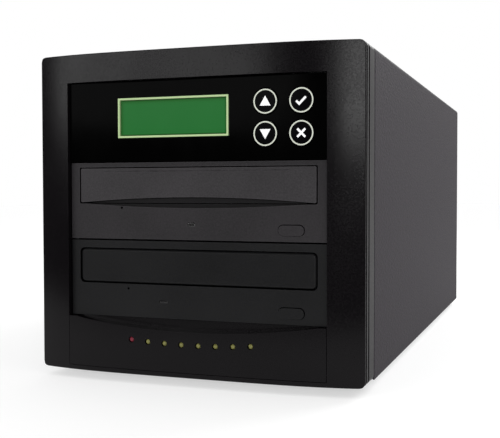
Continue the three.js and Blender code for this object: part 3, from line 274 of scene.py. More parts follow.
def moulded_plastic(name, tone, roughness, grain_size, grain_depth, gloss=0.25):
    """Spark-eroded moulding: an even fine grain, cloudy flow marks and rubbed edges."""
    material, tree, shader = begin_finish(name)
    flow = grain(tree, flow_size)
    texture = grain(tree, grain_size)
    mottle = maths(tree, "ADD", flow, ranged(tree, texture, -0.25, 0.25))
    mottle_span = {"start": 0.2, "end": 0.8}
    share = ranged(tree, mottle, 0, 1, **mottle_span)
    face = blended(tree, share, colour_of(tone, 0.88), colour_of(tone, 1.12))
    colour = blended(tree, edge_share(tree, rubbed_edge), face, colour_of(tone, 1.3, more=6))
    rough = ranged(tree, mottle, roughness - 0.05, roughness + 0.06, **mottle_span)
    feed(tree, shader, {"Base Color": colour, "Roughness": rough, "Specular IOR Level": gloss})
    raise_surface(tree, shader, texture, grain_depth)
    return material


def solder_mask(name):
    """Green lacquer over copper tracks that show as slightly paler, raised lines."""
    material, tree, shader = begin_finish(name)
    layout = {"offset": 0.37, "squash": 0.6, "squash_frequency": 3}
    tracks = pattern(tree, "ShaderNodeTexBrick", track_pitch, **layout)
    fields = {"Color1": (0, 0, 0, 1), "Color2": (0.15, 0.15, 0.15, 1)}
    feed(tree, tracks, {**fields, "Mortar": (1, 1, 1, 1), "Mortar Size": 0.09})
    line = grey_of(tree, tracks.outputs["Color"])
    cloud = grain(tree, lacquer_cloud)
    base = blended(tree, cloud, colour_of((16, 74, 42)), colour_of((22, 88, 50)))
    colour = blended(tree, line, base, colour_of((46, 122, 70)))
    feed(tree, shader, {"Base Color": colour, "Roughness": ranged(tree, cloud, 0.28, 0.4)})
    raise_surface(tree, shader, line, track_relief)
    return material


def paint_faces(piece, finish, belongs):
    """Gives another finish to the faces whose centre and normal pass the test."""
    piece.data.materials.append(finish)
    place = len(piece.data.materials) - 1
    for face in piece.data.polygons:
        if belongs(face.center, face.normal):
            face.material_index = place


def paint_components(circuit):
    """Blackens the chips and connectors: all that stands off the board's own plate."""
    flat_faces = [face for face in circuit.data.polygons if abs(face.normal.z) > facing]
    plate_faces = sorted(flat_faces, key=lambda face: face.area)[-2:]
    plate_low, plate_high = sorted(face.center.z for face in plate_faces)
    low = plate_low - plate_margin
    high = plate_high + plate_margin
    paint_faces(circuit, chip_resin, lambda centre, normal: not low < centre.z < high)


drive_zinc = zinc_plate("drive_zinc", (168, 170, 172))
frame_plastic = moulded_plastic("frame_plastic", (44, 44, 46), 0.5, fine_grain, fine_relief)
board_green = solder_mask("board_green")
chip_resin = moulded_plastic("chip_resin", (30, 30, 32), 0.45, 0.3 * mm, fine_relief)
drive_cases = {
    "shell": ("case", drive_zinc, "zinc_steel", bare_edge),
    "frame": ("cradle", frame_plastic, "tray_plastic", frame_rounding),
}
for place in drive_places:
    drive = f"{place}_drive"
    for kind, (name, finish, slot, radius) in drive_cases.items():
        make_piece(f"{drive}_{kind}", f"{drive}_{name}", "case", finish, radius, steps=1)
    circuit = merged_copy(f"{drive}_board", f"{drive}_circuit")
    coat(circuit, board_green)
    paint_components(circuit)
    fit(circuit, "case", f"{drive}_board")

# Moving parts inside each drive: loading gear, deck, spindle and laser sled.
# The gear and the spindle hub are white acetal, the deck has the frame's dark plastic, and the
# sled is a zinc die casting.
acetal_rounding = 0.15 * mm
acetal_cloud = 6 * mm
acetal_skin = 0.6 * mm


def white_acetal(name):
    """Smooth off-white acetal, a little cloudy, with a waxy skin."""
    material, tree, shader = begin_finish(name)
    cloud = grain(tree, acetal_cloud, detail=3)
    colour = blended(tree, cloud, colour_of((214, 213, 204)), colour_of((232, 231, 224)))
    feed(tree, shader, {"Base Color": colour, "Roughness": ranged(tree, cloud, 0.34, 0.46)})
    raise_surface(tree, shader, grain(tree, acetal_skin), fine_relief)
    return material


acetal = white_acetal("acetal")
sled_casting = zinc_plate("sled_casting", (146, 148, 150))
moving_parts = {
    "loading_gear": ("gear", acetal, "white_plastic"),
    "drive_deck": ("deck", frame_plastic, "tray_plastic"),
    "spindle": ("turntable", acetal, "white_plastic"),
    "laser_sled": ("sled", sled_casting, "zinc_steel"),
}
for place in drive_places:
    for kind, (body, finish, slot) in moving_parts.items():
        node = f"{place}_{kind}"
        make_piece(node, node + "_part", f"{place}_{body}", finish, acetal_rounding, steps=1)

# Disc trays and their doors.
# The tray is one black moulding with two round wells, and its door is a separate moulding that
# clips on its front. The upper door has a fine step near its top, and an arched bottom edge with
# a lip behind it. The door's sides and back are painted near-black as shade, and the lip a dark
# grey as painted shade.
tray_rounding = 0.4 * mm
door_roundings = {"upper": 0.45 * mm, "lower": 1.2 * mm}
door_clearance = (0.3 * mm, 0, 0.3 * mm)
step_below_top = 1.8 * mm
step_height = 0.45 * mm
step_depth = 0.35 * mm
step_inset = 15 * mm
lip_inset = 6 * mm
lip_depth = 2.1 * mm
lip_thick = 1 * mm
lip_height = 5 * mm
lip_rounding = 0.2 * mm
wall_starts = 0.95 * mm
drive_grain = 0.9 * mm
drive_gloss = 0.15


def draw_in(piece, low, high, clearance):
    """Makes a piece smaller about the middle of its box, by the clearance on every side."""
    bpy.ops.object.mode_set(mode="EDIT")
    bpy.ops.mesh.select_all(action="SELECT")
    bpy.ops.transform.resize(
        value=[1 - 2 * gap / size for gap, size in zip(clearance, high - low)],
        center_override=(low + high) / 2,
    )
    bpy.ops.object.mode_set(mode="OBJECT")


def select_faces(piece, belongs):
    """Selects in edit mode only the faces whose centre and normal pass the test."""
    bpy.ops.mesh.select_all(action="DESELECT")
    bpy.ops.object.mode_set(mode="OBJECT")
    for face in piece.data.polygons:
        face.select = belongs(face.center, face.normal)
    bpy.ops.object.mode_set(mode="EDIT")
    bpy.ops.mesh.select_mode(type="FACE")


def extrude(move):
    """Draws what is selected out by that move."""
    bpy.ops.mesh.extrude_region_move(TRANSFORM_OT_translate={"value": move})


def cut_step(door, top, reach):
    """Sinks a fine step into the door's front, down from top and out to reach on both sides."""
    bottom = top - step_height
    planes = [((0, 0, height), (0, 0, 1)) for height in (top, bottom)]
    planes += [((side, 0, 0), (1, 0, 0)) for side in (-reach, reach)]
    bpy.ops.object.mode_set(mode="EDIT")
    for point, direction in planes:
        bpy.ops.mesh.select_all(action="SELECT")
        bpy.ops.mesh.bisect(plane_co=point, plane_no=direction)
    select_faces(door, lambda c, n: bottom < c.z < top and n.y < -facing and abs(c.x) < reach)
    extrude((0, step_depth, 0))
    bpy.ops.object.mode_set(mode="OBJECT")


def block(name, centre, size):
    """A box of that size."""
    bpy.ops.mesh.primitive_cube_add(size=1, location=centre, scale=size)
    box = bpy.context.active_object
    box.name = name
    bpy.ops.object.transform_apply(location=True, rotation=True, scale=True)
    return box


def join_onto(piece, extra):
    """Makes the extra part of the piece."""
    pick_up(piece)
    extra.select_set(True)
    bpy.ops.object.join()


def add_lip(door, low, width):
    """Adds the lip that stands behind the door's bottom edge, from low upwards."""
    middle = (0, low.y + lip_depth + lip_thick / 2, low.z + lip_height / 2)
    lip = block("door_lip", middle, (width, lip_thick, lip_height))
    soften(lip, lip_rounding)
    # The lip is coloured dark grey as painted shade in the arch's recess.
    coat(lip, lip_and_scoop_shade)
    join_onto(door, lip)


tray_black = moulded_plastic("tray_black", (30, 30, 31), 0.42, 0.6 * mm, 0.012 * mm)
# Painted shade: a near-black for the walls in the drives' recesses and gaps, and a dark grey for
# the door's lip and the scoop's back wall.
recess_painted_shade = moulded_plastic("recess_painted_shade", (7, 7, 7), 0.6, fine_grain, fine_relief, gloss=0.05)
lip_and_scoop_shade = moulded_plastic("lip_and_scoop_shade", (24, 23, 24), 0.55, fine_grain, fine_relief, gloss=0.1)
drive_finishes = {
    "upper_door": ((51, 49, 51), 0.5, 0.045 * mm),
    "lower_door": ((19, 19, 20), 0.4, 0.035 * mm),
    "upper_face": ((40, 38, 40), 0.5, 0.045 * mm),
    "lower_face": ((21, 21, 22), 0.4, 0.035 * mm),
}
drive_blacks = {
    name: moulded_plastic(name + "_black", tone, rough, drive_grain, relief, drive_gloss)
    for name, (tone, rough, relief) in drive_finishes.items()
}
for place in drive_places:
    node = f"{place}_disc_tray"
    body = f"{place}_tray"
    make_piece(node, f"{place}_tray_moulding", body, tray_black, tray_rounding)
    door = merged_copy(f"{place}_tray_door", f"{place}_tray_front")
    door_low, door_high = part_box(f"{place}_tray_door")
    door_width = door_high.x - door_low.x
    draw_in(door, door_low, door_high, door_clearance)
    if place == "upper":
        cut_step(door, door_high.z - step_below_top, door_width / 2 - step_inset)
    soften(door, door_roundings[place], steps=3)
    coat(door, drive_blacks[f"{place}_door"])
    door_wall = door_low.y + wall_starts
    # Painted shade: the door's sides and back, behind its front, are near-black as shade in its
    # gaps.
    paint_faces(door, recess_painted_shade, lambda centre, normal: centre.y > door_wall)
    if place == "upper":
        add_lip(door, door_low, door_width - 2 * lip_inset)
    fit(door, body, f"{place}_tray_door")

# Drive faces with their eject buttons and lamp lenses.
# Each face is one moulding with a window for the door, a small hole for the emergency release, a
# slot for the eject button and a smaller one for the lamp's lens. Its walls behind the front are
# painted near-black as shade, and the forward-facing back wall of its scoop a dark grey as
# painted shade.
face_rounding = 0.35 * mm
lens_rounding = 0.3 * mm
lens_cloud = 1.2 * mm
lens_relief = 0.03 * mm
parting_clearance = (0, 0, 0.2 * mm)


def smoked_lens(name, clear, rim):
    """Clear plastic over an unlit lamp: dark, glossy and slightly cloudy, with a painted highlight
    on its rim.
    """
    material, tree, shader = begin_finish(name)
    cloud = grain(tree, lens_cloud, detail=3)
    dark = blended(tree, cloud, colour_of(clear, 0.8), colour_of(clear))
    # The rim tone is a painted highlight along the lens's edge.
    colour = blended(tree, edge_share(tree, wear_and_glint_edge), dark, colour_of(rim))
    feed(tree, shader, {"Base Color": colour, "Roughness": ranged(tree, cloud, 0.12, 0.25)})
    raise_surface(tree, shader, cloud, lens_relief)
    return material


# Each lens: its dark tone, and the pale tone of its painted rim highlight.
drive_lenses = {
    "upper": smoked_lens("upper_lens_black", (36, 36, 36), (150, 149, 150)),
    "lower": smoked_lens("lower_lens_black", (30, 29, 30), (58, 57, 58)),
}
for place in drive_places:
    black = drive_blacks[f"{place}_face"]
    node = f"{place}_drive_face"
    moulding = merged_copy(node, f"{place}_face_moulding")
    face_low, face_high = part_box(node)
    draw_in(moulding, face_low, face_high, parting_clearance)
    soften(moulding, face_rounding)
    coat(moulding, black)
    wall = face_low.y + wall_starts
    # Painted shade: the walls behind the front are near-black, and the scoop's forward-facing back
    # wall dark grey.
    paint_faces(moulding, recess_painted_shade, lambda centre, normal: centre.y > wall)
    paint_faces(moulding, lip_and_scoop_shade, lambda centre, normal: centre.y > wall and normal.y < -facing)
    fit(moulding, "case", node)
    node = f"{place}_eject_button"
    name = f"{place}_eject_cap"
    make_piece(node, name, f"{place}_eject", black, face_rounding, steps=3)
    node = f"{place}_drive_lens"
    name = f"{place}_lamp_lens"
    make_piece(node, name, "case", drive_lenses[place], lens_rounding, steps=3)

# Controller board on its bracket.
# A green board with connectors and chips stands on a plated bracket behind the drives.
board_rounding = 0.1 * mm
node = "controller_bracket"
make_piece(node, node + "_sheet", "case", chassis_zinc, bare_edge, steps=1)


def make_board(node, name):
    """A green circuit board."""
    return make_piece(node, name, "case", board_green, board_rounding, steps=1)


paint_components(make_board("controller_board", "controller_circuit"))

# Power supply: housing, board, fan, mains inlet and switch rocker.
# The housing is a plated steel box with a fan grille stamped in its rear. The fan and the inlet
# are black mouldings, and the rocker tips in the inlet.
fan_rounding = 0.3 * mm
fan_hole_spacing = 71.5 * mm
fan_screw_radius = 2.9 * mm
fan_screw_height = 1.7 * mm
fan_corners = ((-1, -1), (1, -1), (-1, 1), (1, 1))
head_edge_share = 0.3
cross_reach = 1.1
cross_width = 0.28
round_sides = 28
mark_offset = 4.6 * mm
mark_half_line = 0.4 * mm
bar_half_height = 2 * mm
ring_reach = 1.9 * mm
supply_plastic = ((22, 22, 23), 0.4, 0.6 * mm, fine_relief)
supply_zinc = zinc_plate("supply_zinc", (160, 162, 164))
screw_zinc = zinc_plate("screw_zinc", (120, 121, 122))
fan_black = moulded_plastic("fan_black", *supply_plastic)
inlet_black = moulded_plastic("connector_black", (24, 24, 25), 0.5, 0.4 * mm, fine_relief)


def axes_of(tree, source):
    """X, Y and Z of a texture coordinate, each on its own."""
    place = put(tree, "ShaderNodeTexCoord", {})
    return put(tree, "ShaderNodeSeparateXYZ", {"Vector": place.outputs[source]}).outputs


def marked_plastic(name, middle):
    """Black plastic with a bar printed above its middle and a ring below it, for on and off."""
    material = moulded_plastic(name, *supply_plastic)
    tree = material.node_tree
    shader = tree.nodes["Principled BSDF"]
    plain = shader.inputs["Base Color"].links[0].from_socket
    axes = axes_of(tree, "Object")
    bar_place = middle.z + mark_offset
    ring_middle = (middle.x, 0, middle.z - mark_offset)
    across = maths(tree, "COMPARE", axes["X"], middle.x, mark_half_line)
    up = maths(tree, "COMPARE", axes["Z"], bar_place, bar_half_height)
    flat = put(tree, "ShaderNodeCombineXYZ", {"X": axes["X"], "Z": axes["Z"]})
    ends = {0: flat.outputs["Vector"], 1: ring_middle}
    away = put(tree, "ShaderNodeVectorMath", ends, operation="DISTANCE").outputs["Value"]
    ring = maths(tree, "COMPARE", away, ring_reach, mark_half_line)
    mark = maths(tree, "ADD", maths(tree, "MULTIPLY", across, up), ring)
    feed(tree, shader, {"Base Color": blended(tree, mark, plain, colour_of((208, 208, 204)))})
    return material


def round_bar(name, centre, sides, radius, front, back):
    """A cylinder that lies along Y from front to back."""
    bpy.ops.mesh.primitive_cylinder_add(
        vertices=sides,
        radius=radius,
        depth=back - front,
        location=(centre.x, (front + back) / 2, centre.z),
        rotation=(math.pi / 2, 0, 0),
    )
    bar = bpy.context.active_object
    bar.name = name
    bpy.ops.object.transform_apply(location=True, rotation=True, scale=True)
    return bar


def cut_cross(screw, top, radius, depth):
    """Cuts a cross recess into a screw head of that radius that faces the rear."""
    reach = cross_reach * radius
    width = cross_width * radius
    for size in ((reach, depth, width), (width, depth, reach)):
        cutter = block("cross_cutter", top, size)
        pick_up(screw)
        recess = screw.modifiers.new("recess", "BOOLEAN")
        recess.operation = "DIFFERENCE"
        recess.object = cutter
        bpy.ops.object.modifier_apply(modifier="recess")
        bpy.data.objects.remove(cutter)


def pan_screw(name, seat, radius, height):
    """A pan head with a cross recess, which faces the rear."""
    screw = round_bar(name, seat, round_sides, radius, seat.y, seat.y + height)
    soften(screw, head_edge_share * height, steps=3)
    cut_cross(screw, seat + Vector((0, height, 0)), radius, height)
    return screw


housing = "power_supply_housing"
make_piece(housing, "power_supply_box", "case", supply_zinc, bare_edge, steps=1)
fan_low, fan_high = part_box("fan_frame")
fan_middle = (fan_low + fan_high) / 2
fan_middle.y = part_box(housing)[1].y
for number, (across, up) in enumerate(fan_corners, start=1):
    seat = fan_middle + fan_hole_spacing / 2 * Vector((across, 0, up))
    fan_screw = pan_screw(f"fan_screw_{number}", seat, fan_screw_radius, fan_screw_height)
    coat(fan_screw, screw_zinc)
    fit(fan_screw, "case", housing)
paint_components(make_board("power_supply_board", "power_supply_circuit"))
rocker_low, rocker_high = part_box("switch_rocker")
rocker_black = marked_plastic("rocker_black", (rocker_low + rocker_high) / 2)
supply_mouldings = {
    "fan_frame": ("fan_frame_moulding", "case", fan_black, 1),
    "fan_rotor": ("fan_rotor_moulding", "fan", fan_black, 2),
    "mains_inlet": ("mains_inlet_moulding", "case", inlet_black, 2),
    "switch_rocker": ("switch_rocker_cap", "mains_switch", rocker_black, 2),
}
for node, (name, body, finish, steps) in supply_mouldings.items():
    make_piece(node, name, body, finish, fan_rounding, steps)

# Leads inside the case.
# A data lead in red sleeve goes to each drive, and one black lead brings the power.
smooth_turn = math.radians(40)
streak_size = 1.5 * mm
streak_dark = 0.75
lead_finishes = {
    "upper_data_lead": ((150, 22, 24), "red_sleeve"),
    "lower_data_lead": ((150, 22, 24), "red_sleeve"),
    "power_lead": ((26, 26, 27), "black_sleeve"),
}


def extruded_sleeve(name, tone):
    """Smooth drawn sleeve with faint streaks that run from front to rear."""
    material, tree, shader = begin_finish(name)
    streaks = grain(tree, streak_size, detail=3, stretch=(1, 0.15, 1))
    light = colour_of(tone)
    dark = (*(streak_dark * share for share in light[:3]), 1)
    colour = blended(tree, streaks, dark, light)
    feed(tree, shader, {"Base Color": colour, "Roughness": ranged(tree, streaks, 0.38, 0.52)})
    raise_surface(tree, shader, streaks, fine_relief)
    return material


for node, (tone, slot) in lead_finishes.items():
    lead = merged_copy(node, node + "_sleeve")
    pick_up(lead)
    bpy.ops.object.shade_smooth_by_angle(angle=smooth_turn)
    coat(lead, extruded_sleeve(node + "_finish", tone))
    fit(lead, "case", node)

# Lower front panel with its eight status lamps.
# The panel is a black moulding with a shallow lens-shaped scoop along its top. The lamps are
# domed epoxy parts, one red and seven yellow-green, unlit, in holes in the panel.
lamp_count = 8
lamp_radius = 1.5 * mm
lamp_length = 5.3 * mm
dome_share = 0.86
dome_steps = 7
rim_reach = 0.3 * mm
rim_thick = 0.8 * mm
leg_sides = 8
leg_radius = 0.3 * mm
leg_spread = 0.8 * mm
board_thick = 1.6 * mm
row_above_board = 7 * mm
row_rise = 1.4 * mm
bow_depth = 6 * mm
half_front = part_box("front_bezel")[1].x
panel_rounding = 0.3 * mm
bezel_grain = 0.9 * mm
epoxy_cloud = 0.9 * mm
epoxy_relief = 0.02 * mm
bezel_black = moulded_plastic("bezel_black", (11, 9, 11), 0.2, bezel_grain, 0.014 * mm, gloss=0.12)
node = "lower_front_panel"
name = "lower_panel_moulding"
make_piece(node, name, "case", bezel_black, panel_rounding)


def lamp_epoxy(name, tone):
    """Diffused epoxy: cloudy, tinted and glossy."""
    material, tree, shader = begin_finish(name)
    cloud = grain(tree, epoxy_cloud)
    colour = blended(tree, cloud, colour_of(tone, 0.7), colour_of(tone))
    rough = ranged(tree, cloud, 0.2, 0.35)
    feed(tree, shader, {"Base Color": colour, "Roughness": rough, "Specular IOR Level": 0.3})
    raise_surface(tree, shader, cloud, epoxy_relief)
    return material


lamp_red = lamp_epoxy("lamp_red", (132, 40, 56))
lamp_green = lamp_epoxy("lamp_green", (136, 134, 74))
board_low, board_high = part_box("status_lamp_board")
board_size = board_high - board_low
board_front = board_high.y - board_thick
lamp_pitch = board_size.x / (lamp_count + 2)
lamp_reach = lamp_pitch * (lamp_count - 1) / 2
row_middle = board_low.z + row_above_board


def bow_at(x):
    """How far the front has bowed back at that distance from the middle."""
    return bow_depth * abs(x / half_front) ** 4


def lamp_place(number):
    """Where a lamp's tip is: the row rises a little towards both ends and follows the bow."""
    x = number * lamp_pitch - lamp_reach
    return Vector((x, board_low.y + bow_at(x), row_middle + row_rise * (x / lamp_reach) ** 2))


def epoxy_lamp(tip, finish, name):
    """A domed lamp with a rim behind the panel, and two legs that run back to the board."""
    back = tip.y + lamp_length
    rim_radius = lamp_radius + rim_reach
    lamp = round_bar(name, tip, round_sides, rim_radius, back - rim_thick, back)
    bpy.ops.object.mode_set(mode="EDIT")
    select_faces(lamp, lambda centre, normal: normal.y < -facing)
    bpy.ops.mesh.inset(thickness=rim_reach)
    extrude((0, rim_thick - lamp_length, 0))
    bpy.ops.mesh.bevel(offset=dome_share * lamp_radius, segments=dome_steps)
    bpy.ops.object.mode_set(mode="OBJECT")
    bpy.ops.object.shade_smooth_by_angle(angle=smooth_turn)
    coat(lamp, finish)
    for side in (-leg_spread, leg_spread):
        root = tip + Vector((side, 0, 0))
        leg = round_bar(name + "_leg", root, leg_sides, leg_radius, back, board_front)
        coat(leg, drive_zinc)
        join_onto(lamp, leg)
    return lamp


for number in range(lamp_count):
    finish = lamp_green if number else lamp_red
    lamp = epoxy_lamp(lamp_place(number), finish, f"status_lamp_{number + 1}")
    fit(lamp, "case", "status_lamp_board")
board_middle = (0, board_high.y - board_thick / 2, (board_low.z + board_high.z) / 2)
board_plate = (board_size.x, board_thick, board_size.z)
lamp_board = block("status_lamp_circuit", board_middle, board_plate)
soften(lamp_board, board_rounding)
coat(lamp_board, board_green)
fit(lamp_board, "case", "status_lamp_board")

# Control panel with its display.
# A plate of gloss black plastic covers the bay above the drives. The display looks through a
# window in it, inside a narrow pale green frame.
gloss_rounding = 0.3 * mm
ring_rounding = 0.2 * mm
display_rounding = 0.15 * mm
dust_size = 0.5 * mm
wipe_size = 14 * mm
wipe_relief = 0.005 * mm
paint_cloud = 0.8 * mm
paint_relief = 0.008 * mm
display_cloud = 20 * mm
glass_cloud = 8 * mm
# How far the painted shade of the frame reaches in from each side of the display.
display_painted_shade = {"left": 2.2 * mm, "right": 1.2 * mm, "top": 2 * mm, "bottom": 0.8 * mm}


def gloss_plastic(name, tone):
    """Polished black plastic with faint dust, and wipe marks that only show in its shine."""
    material, tree, shader = begin_finish(name)
    dust = ranged(tree, grain(tree, dust_size, detail=3), 0, 1, start=0.62, end=0.75)
    colour = blended(tree, dust, colour_of(tone), colour_of(tone, more=6))
    wipes = grain(tree, wipe_size, detail=3, stretch=(1, 1, 0.4))
    rough = ranged(tree, wipes, 0.06, 0.14)
    feed(tree, shader, {"Base Color": colour, "Roughness": rough, "Specular IOR Level": 0.01})
    raise_surface(tree, shader, wipes, wipe_relief)
    return material


def pale_paint(name, tone):
    """Printed or painted pale colour with a slightly uneven cover."""
    material, tree, shader = begin_finish(name)
    cover = grain(tree, paint_cloud, detail=3)
    colour = blended(tree, cover, colour_of(tone, 0.93), colour_of(tone))
    rough = ranged(tree, cover, 0.35, 0.5)
    feed(tree, shader, {"Base Color": colour, "Roughness": rough, "Specular IOR Level": 0.3})
    raise_surface(tree, shader, cover, paint_relief)
    return material


def display_with_painted_glow(name, low, high):
    """Green display under glass with a faint painted glow, even in the middle and with painted
    shade near its rim.
    """
    material, tree, shader = begin_finish(name)
    axes = axes_of(tree, "Object")
    fades = display_painted_shade
    sides = (
        ("X", low.x, low.x + fades["left"]),
        ("X", high.x, high.x - fades["right"]),
        ("Z", high.z, high.z - fades["top"]),
        ("Z", low.z, low.z + fades["bottom"]),
    )
    # Painted shade: the display darkens towards its rim, most on the left and top.
    inside = 1
    for axis, start, end in sides:
        inside = maths(tree, "MULTIPLY", inside, ranged(tree, axes[axis], 0, 1, start, end))
    cloud = grain(tree, display_cloud)
    face = blended(tree, cloud, colour_of((30, 93, 41)), colour_of((34, 98, 45)))
    colour = blended(tree, inside, colour_of((26, 78, 26)), face)
    rough = ranged(tree, grain(tree, glass_cloud), 0.15, 0.22)
    feed(tree, shader, {"Base Color": colour, "Roughness": rough, "Specular IOR Level": 0.03})
    # A faint painted glow.
    feed(tree, shader, {"Emission Color": colour, "Emission Strength": 0.12})
    return material


gloss_black = gloss_plastic("gloss_black", (2, 2, 2))
frame_green = pale_paint("frame_green", (178, 202, 148))
display_green = display_with_painted_glow("display_green", *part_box("lcd_screen"))
panel_pieces = {
    "control_panel": ("control_panel_plate", gloss_black, "gloss_panel", gloss_rounding),
    "lcd_frame": ("display_ring", frame_green, "display_frame", ring_rounding),
    "lcd_screen": ("display_glass", display_green, "display_green", display_rounding),
}
for node, (name, finish, slot, radius) in panel_pieces.items():
    make_piece(node, name, "case", finish, radius)
for node in ("lcd_board", "key_board"):
    make_board(node, node + "_circuit")

# Four round keys.
# Each is a gloss black cap on a wider flange that keeps it behind the panel. A pale ring and a
# sign are printed on it: up, down, a tick for enter and a cross for escape.
key_sides = 72
key_radius = 6.8 * mm
key_rounding = 0.3 * mm
ring_inset = 0.15 * mm
ring_line = 0.68 * mm
ring_outer = key_radius - key_rounding - ring_inset
flange_thick = 1 * mm
flange_reach = 1.2 * mm
on_plane = 0.01 * mm
sign_height = 0.05 * mm
arrow_reach = 3.4 * mm
arrow_shift = 0.55 * mm
stroke = 1.15 * mm
tick_corner = Vector((-1.1 * mm, 0, -1.9 * mm))
tick_arms = {135: 1.7 * mm, 45: 4.4 * mm}
cross_arms = {turn: 2.4 * mm for turn in (45, 135, 225, 315)}
key_gloss = gloss_plastic("key_gloss", (6, 6, 7))
key_print = pale_paint("key_print", (208, 212, 198))
sign_white = pale_paint("sign_white", (255, 255, 255))


def key_cap(name, centre, front, back):
    """A round cap turned from its flange forward, with a printed ring at its rim."""

    def on_ring(middle, normal):
        reach = math.hypot(middle.x - centre.x, middle.z - centre.z)
        return middle.y < front + on_plane and ring_outer - ring_line < reach < ring_outer

    flange_front = back - flange_thick
    cap = round_bar(name, centre, key_sides, key_radius + flange_reach, flange_front, back)
    bpy.ops.object.mode_set(mode="EDIT")
    select_faces(cap, lambda middle, normal: normal.y < -facing)
    bpy.ops.mesh.inset(thickness=flange_reach)
    extrude((0, front - flange_front, 0))
    bpy.ops.mesh.select_mode(type="EDGE")
    bpy.ops.mesh.bevel(offset=key_rounding, segments=3)
    select_faces(cap, lambda middle, normal: middle.y < front + on_plane)
    bpy.ops.mesh.inset(thickness=ring_inset)
    bpy.ops.mesh.inset(thickness=ring_line)
    bpy.ops.object.mode_set(mode="OBJECT")
    coat(cap, key_gloss)
    paint_faces(cap, key_print, on_ring)
    return cap


def arrow_sign(centre, front, upwards):
    """A filled triangle that points upwards for 1 and downwards for -1."""
    bpy.ops.mesh.primitive_circle_add(
        vertices=3,
        radius=arrow_reach,
        fill_type="NGON",
        location=(centre.x, front, centre.z - upwards * arrow_shift),
        rotation=(math.pi / 2, 0 if upwards > 0 else math.pi, 0),
    )
    sign = bpy.context.active_object
    bpy.ops.object.transform_apply(location=True, rotation=True, scale=True)
    return sign


def edge_middle(piece, edge):
    """The point halfway along an edge."""
    first, second = (piece.data.vertices[number].co for number in edge.vertices)
    return (first + second) / 2


def stroke_sign(centre, front, arms):
    """A small square turned on its corner, with an arm drawn out of its side at each turn."""
    root = Vector((centre.x, front, centre.z))
    corner_up = (math.pi / 2, math.pi / 4, 0)
    bpy.ops.mesh.primitive_plane_add(size=stroke, location=root, rotation=corner_up)
    sign = bpy.context.active_object
    bpy.ops.object.transform_apply(location=True, rotation=True, scale=True)
    for turn, length in arms.items():
        direction = Vector((math.cos(math.radians(turn)), 0, math.sin(math.radians(turn))))
        side = root + direction * stroke / 2
        bpy.ops.object.mode_set(mode="EDIT")
        bpy.ops.mesh.select_all(action="DESELECT")
        bpy.ops.object.mode_set(mode="OBJECT")
        for edge in sign.data.edges:
            edge.select = (edge_middle(sign, edge) - side).length < stroke / 10
        bpy.ops.object.mode_set(mode="EDIT")
        bpy.ops.mesh.select_mode(type="EDGE")
        extrude(direction * length)
        bpy.ops.object.mode_set(mode="OBJECT")
    return sign


def thicken(sign):
    """Draws a flat sign out towards the front, and turns all its faces outwards."""
    pick_up(sign)
    bpy.ops.object.mode_set(mode="EDIT")
    bpy.ops.mesh.select_all(action="SELECT")
    bpy.ops.mesh.normals_make_consistent(inside=False)
    extrude((0, -sign_height, 0))
    bpy.ops.mesh.select_all(action="SELECT")
    bpy.ops.mesh.normals_make_consistent(inside=False)
    bpy.ops.object.mode_set(mode="OBJECT")


key_signs = {
    "up": lambda centre, front: arrow_sign(centre, front, 1),
    "down": lambda centre, front: arrow_sign(centre, front, -1),
    "enter": lambda centre, front: stroke_sign(centre + tick_corner, front, tick_arms),
    "escape": lambda centre, front: stroke_sign(centre, front, cross_arms),
}
for key_name, draw_sign in key_signs.items():
    node = f"{key_name}_button"
    key_low, key_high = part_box(node)
    key_centre = (key_low + key_high) / 2
    cap_front = key_low.y + sign_height
    cap = key_cap(f"{key_name}_key_cap", key_centre, cap_front, key_high.y)
    sign = draw_sign(key_centre, cap_front)
    thicken(sign)
    coat(sign, sign_white)
    join_onto(cap, sign)
    bpy.ops.object.shade_smooth_by_angle(angle=sharp_turn)
    fit(cap, f"{key_name}_key", node)

# Front bezel.
# One black moulding with an even spark-eroded grain. Its front bows a little towards the sides.
# Two matt grooves run round its duller sides, their walls and floors painted near-black as shade,
# and a step parts it from the cover.
outer_rounding = 1.1 * mm
groove_share = 0.12
edge_reach = 0.3 * mm
side_reach = 3 * mm
wall_margin = 0.1 * mm
groove_starts = (7.15 * mm, 12.45 * mm)
groove_modelled = 1.6 * mm
groove_widened = 0.7 * mm
groove_width = groove_modelled + groove_widened + wall_margin
bezel_low, bezel_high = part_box("front_bezel")
bezel_middle = (bezel_low.z + bezel_high.z) / 2
bezel_half_height = (bezel_high.z - bezel_low.z) / 2
side_black = moulded_plastic("side_black", (19, 17, 19), 0.46, bezel_grain, 0.03 * mm, gloss=0.1)
# Painted shade: a near-black for the walls and floors of the grooves.
groove_painted_shade = moulded_plastic("groove_painted_shade", (4, 4, 4), 0.75, fine_grain, fine_relief, gloss=0.05)


def from_outside(middle):
    """How far a point lies inside the moulding's outer top, bottom and sides."""
    up_or_down = abs(middle.z - bezel_middle)
    return min(half_front - abs(middle.x), bezel_half_height - up_or_down)


def bezel_share(middle):
    """The outer front edges are rounded fully, and the grooves and inner edges only a little."""
    at_front = middle.y < bezel_low.y + bow_at(middle.x) + edge_reach
    return 1 if at_front and from_outside(middle) < edge_reach else groove_share


def on_side(middle, normal):
    """The top, the bottom and both sides behind the rounded front edges."""
    return from_outside(middle) < side_reach and max(abs(normal.x), abs(normal.z)) > facing


def in_groove(middle, normal):
    """The walls and the floors of the two grooves."""
    behind_front = middle.y - bezel_low.y
    reached = [start < behind_front < start + groove_width for start in groove_starts]
    return from_outside(middle) < side_reach and any(reached)


def widen_groove(piece, rear_wall):
    """Moves a groove's rear wall back."""
    for corner in piece.data.vertices:
        corner.select = abs(corner.co.y - rear_wall) < wall_margin
    bpy.ops.object.mode_set(mode="EDIT")
    bpy.ops.mesh.select_mode(type="VERT")
    bpy.ops.transform.translate(value=(0, groove_widened, 0))
    bpy.ops.mesh.select_all(action="DESELECT")
    bpy.ops.object.mode_set(mode="OBJECT")


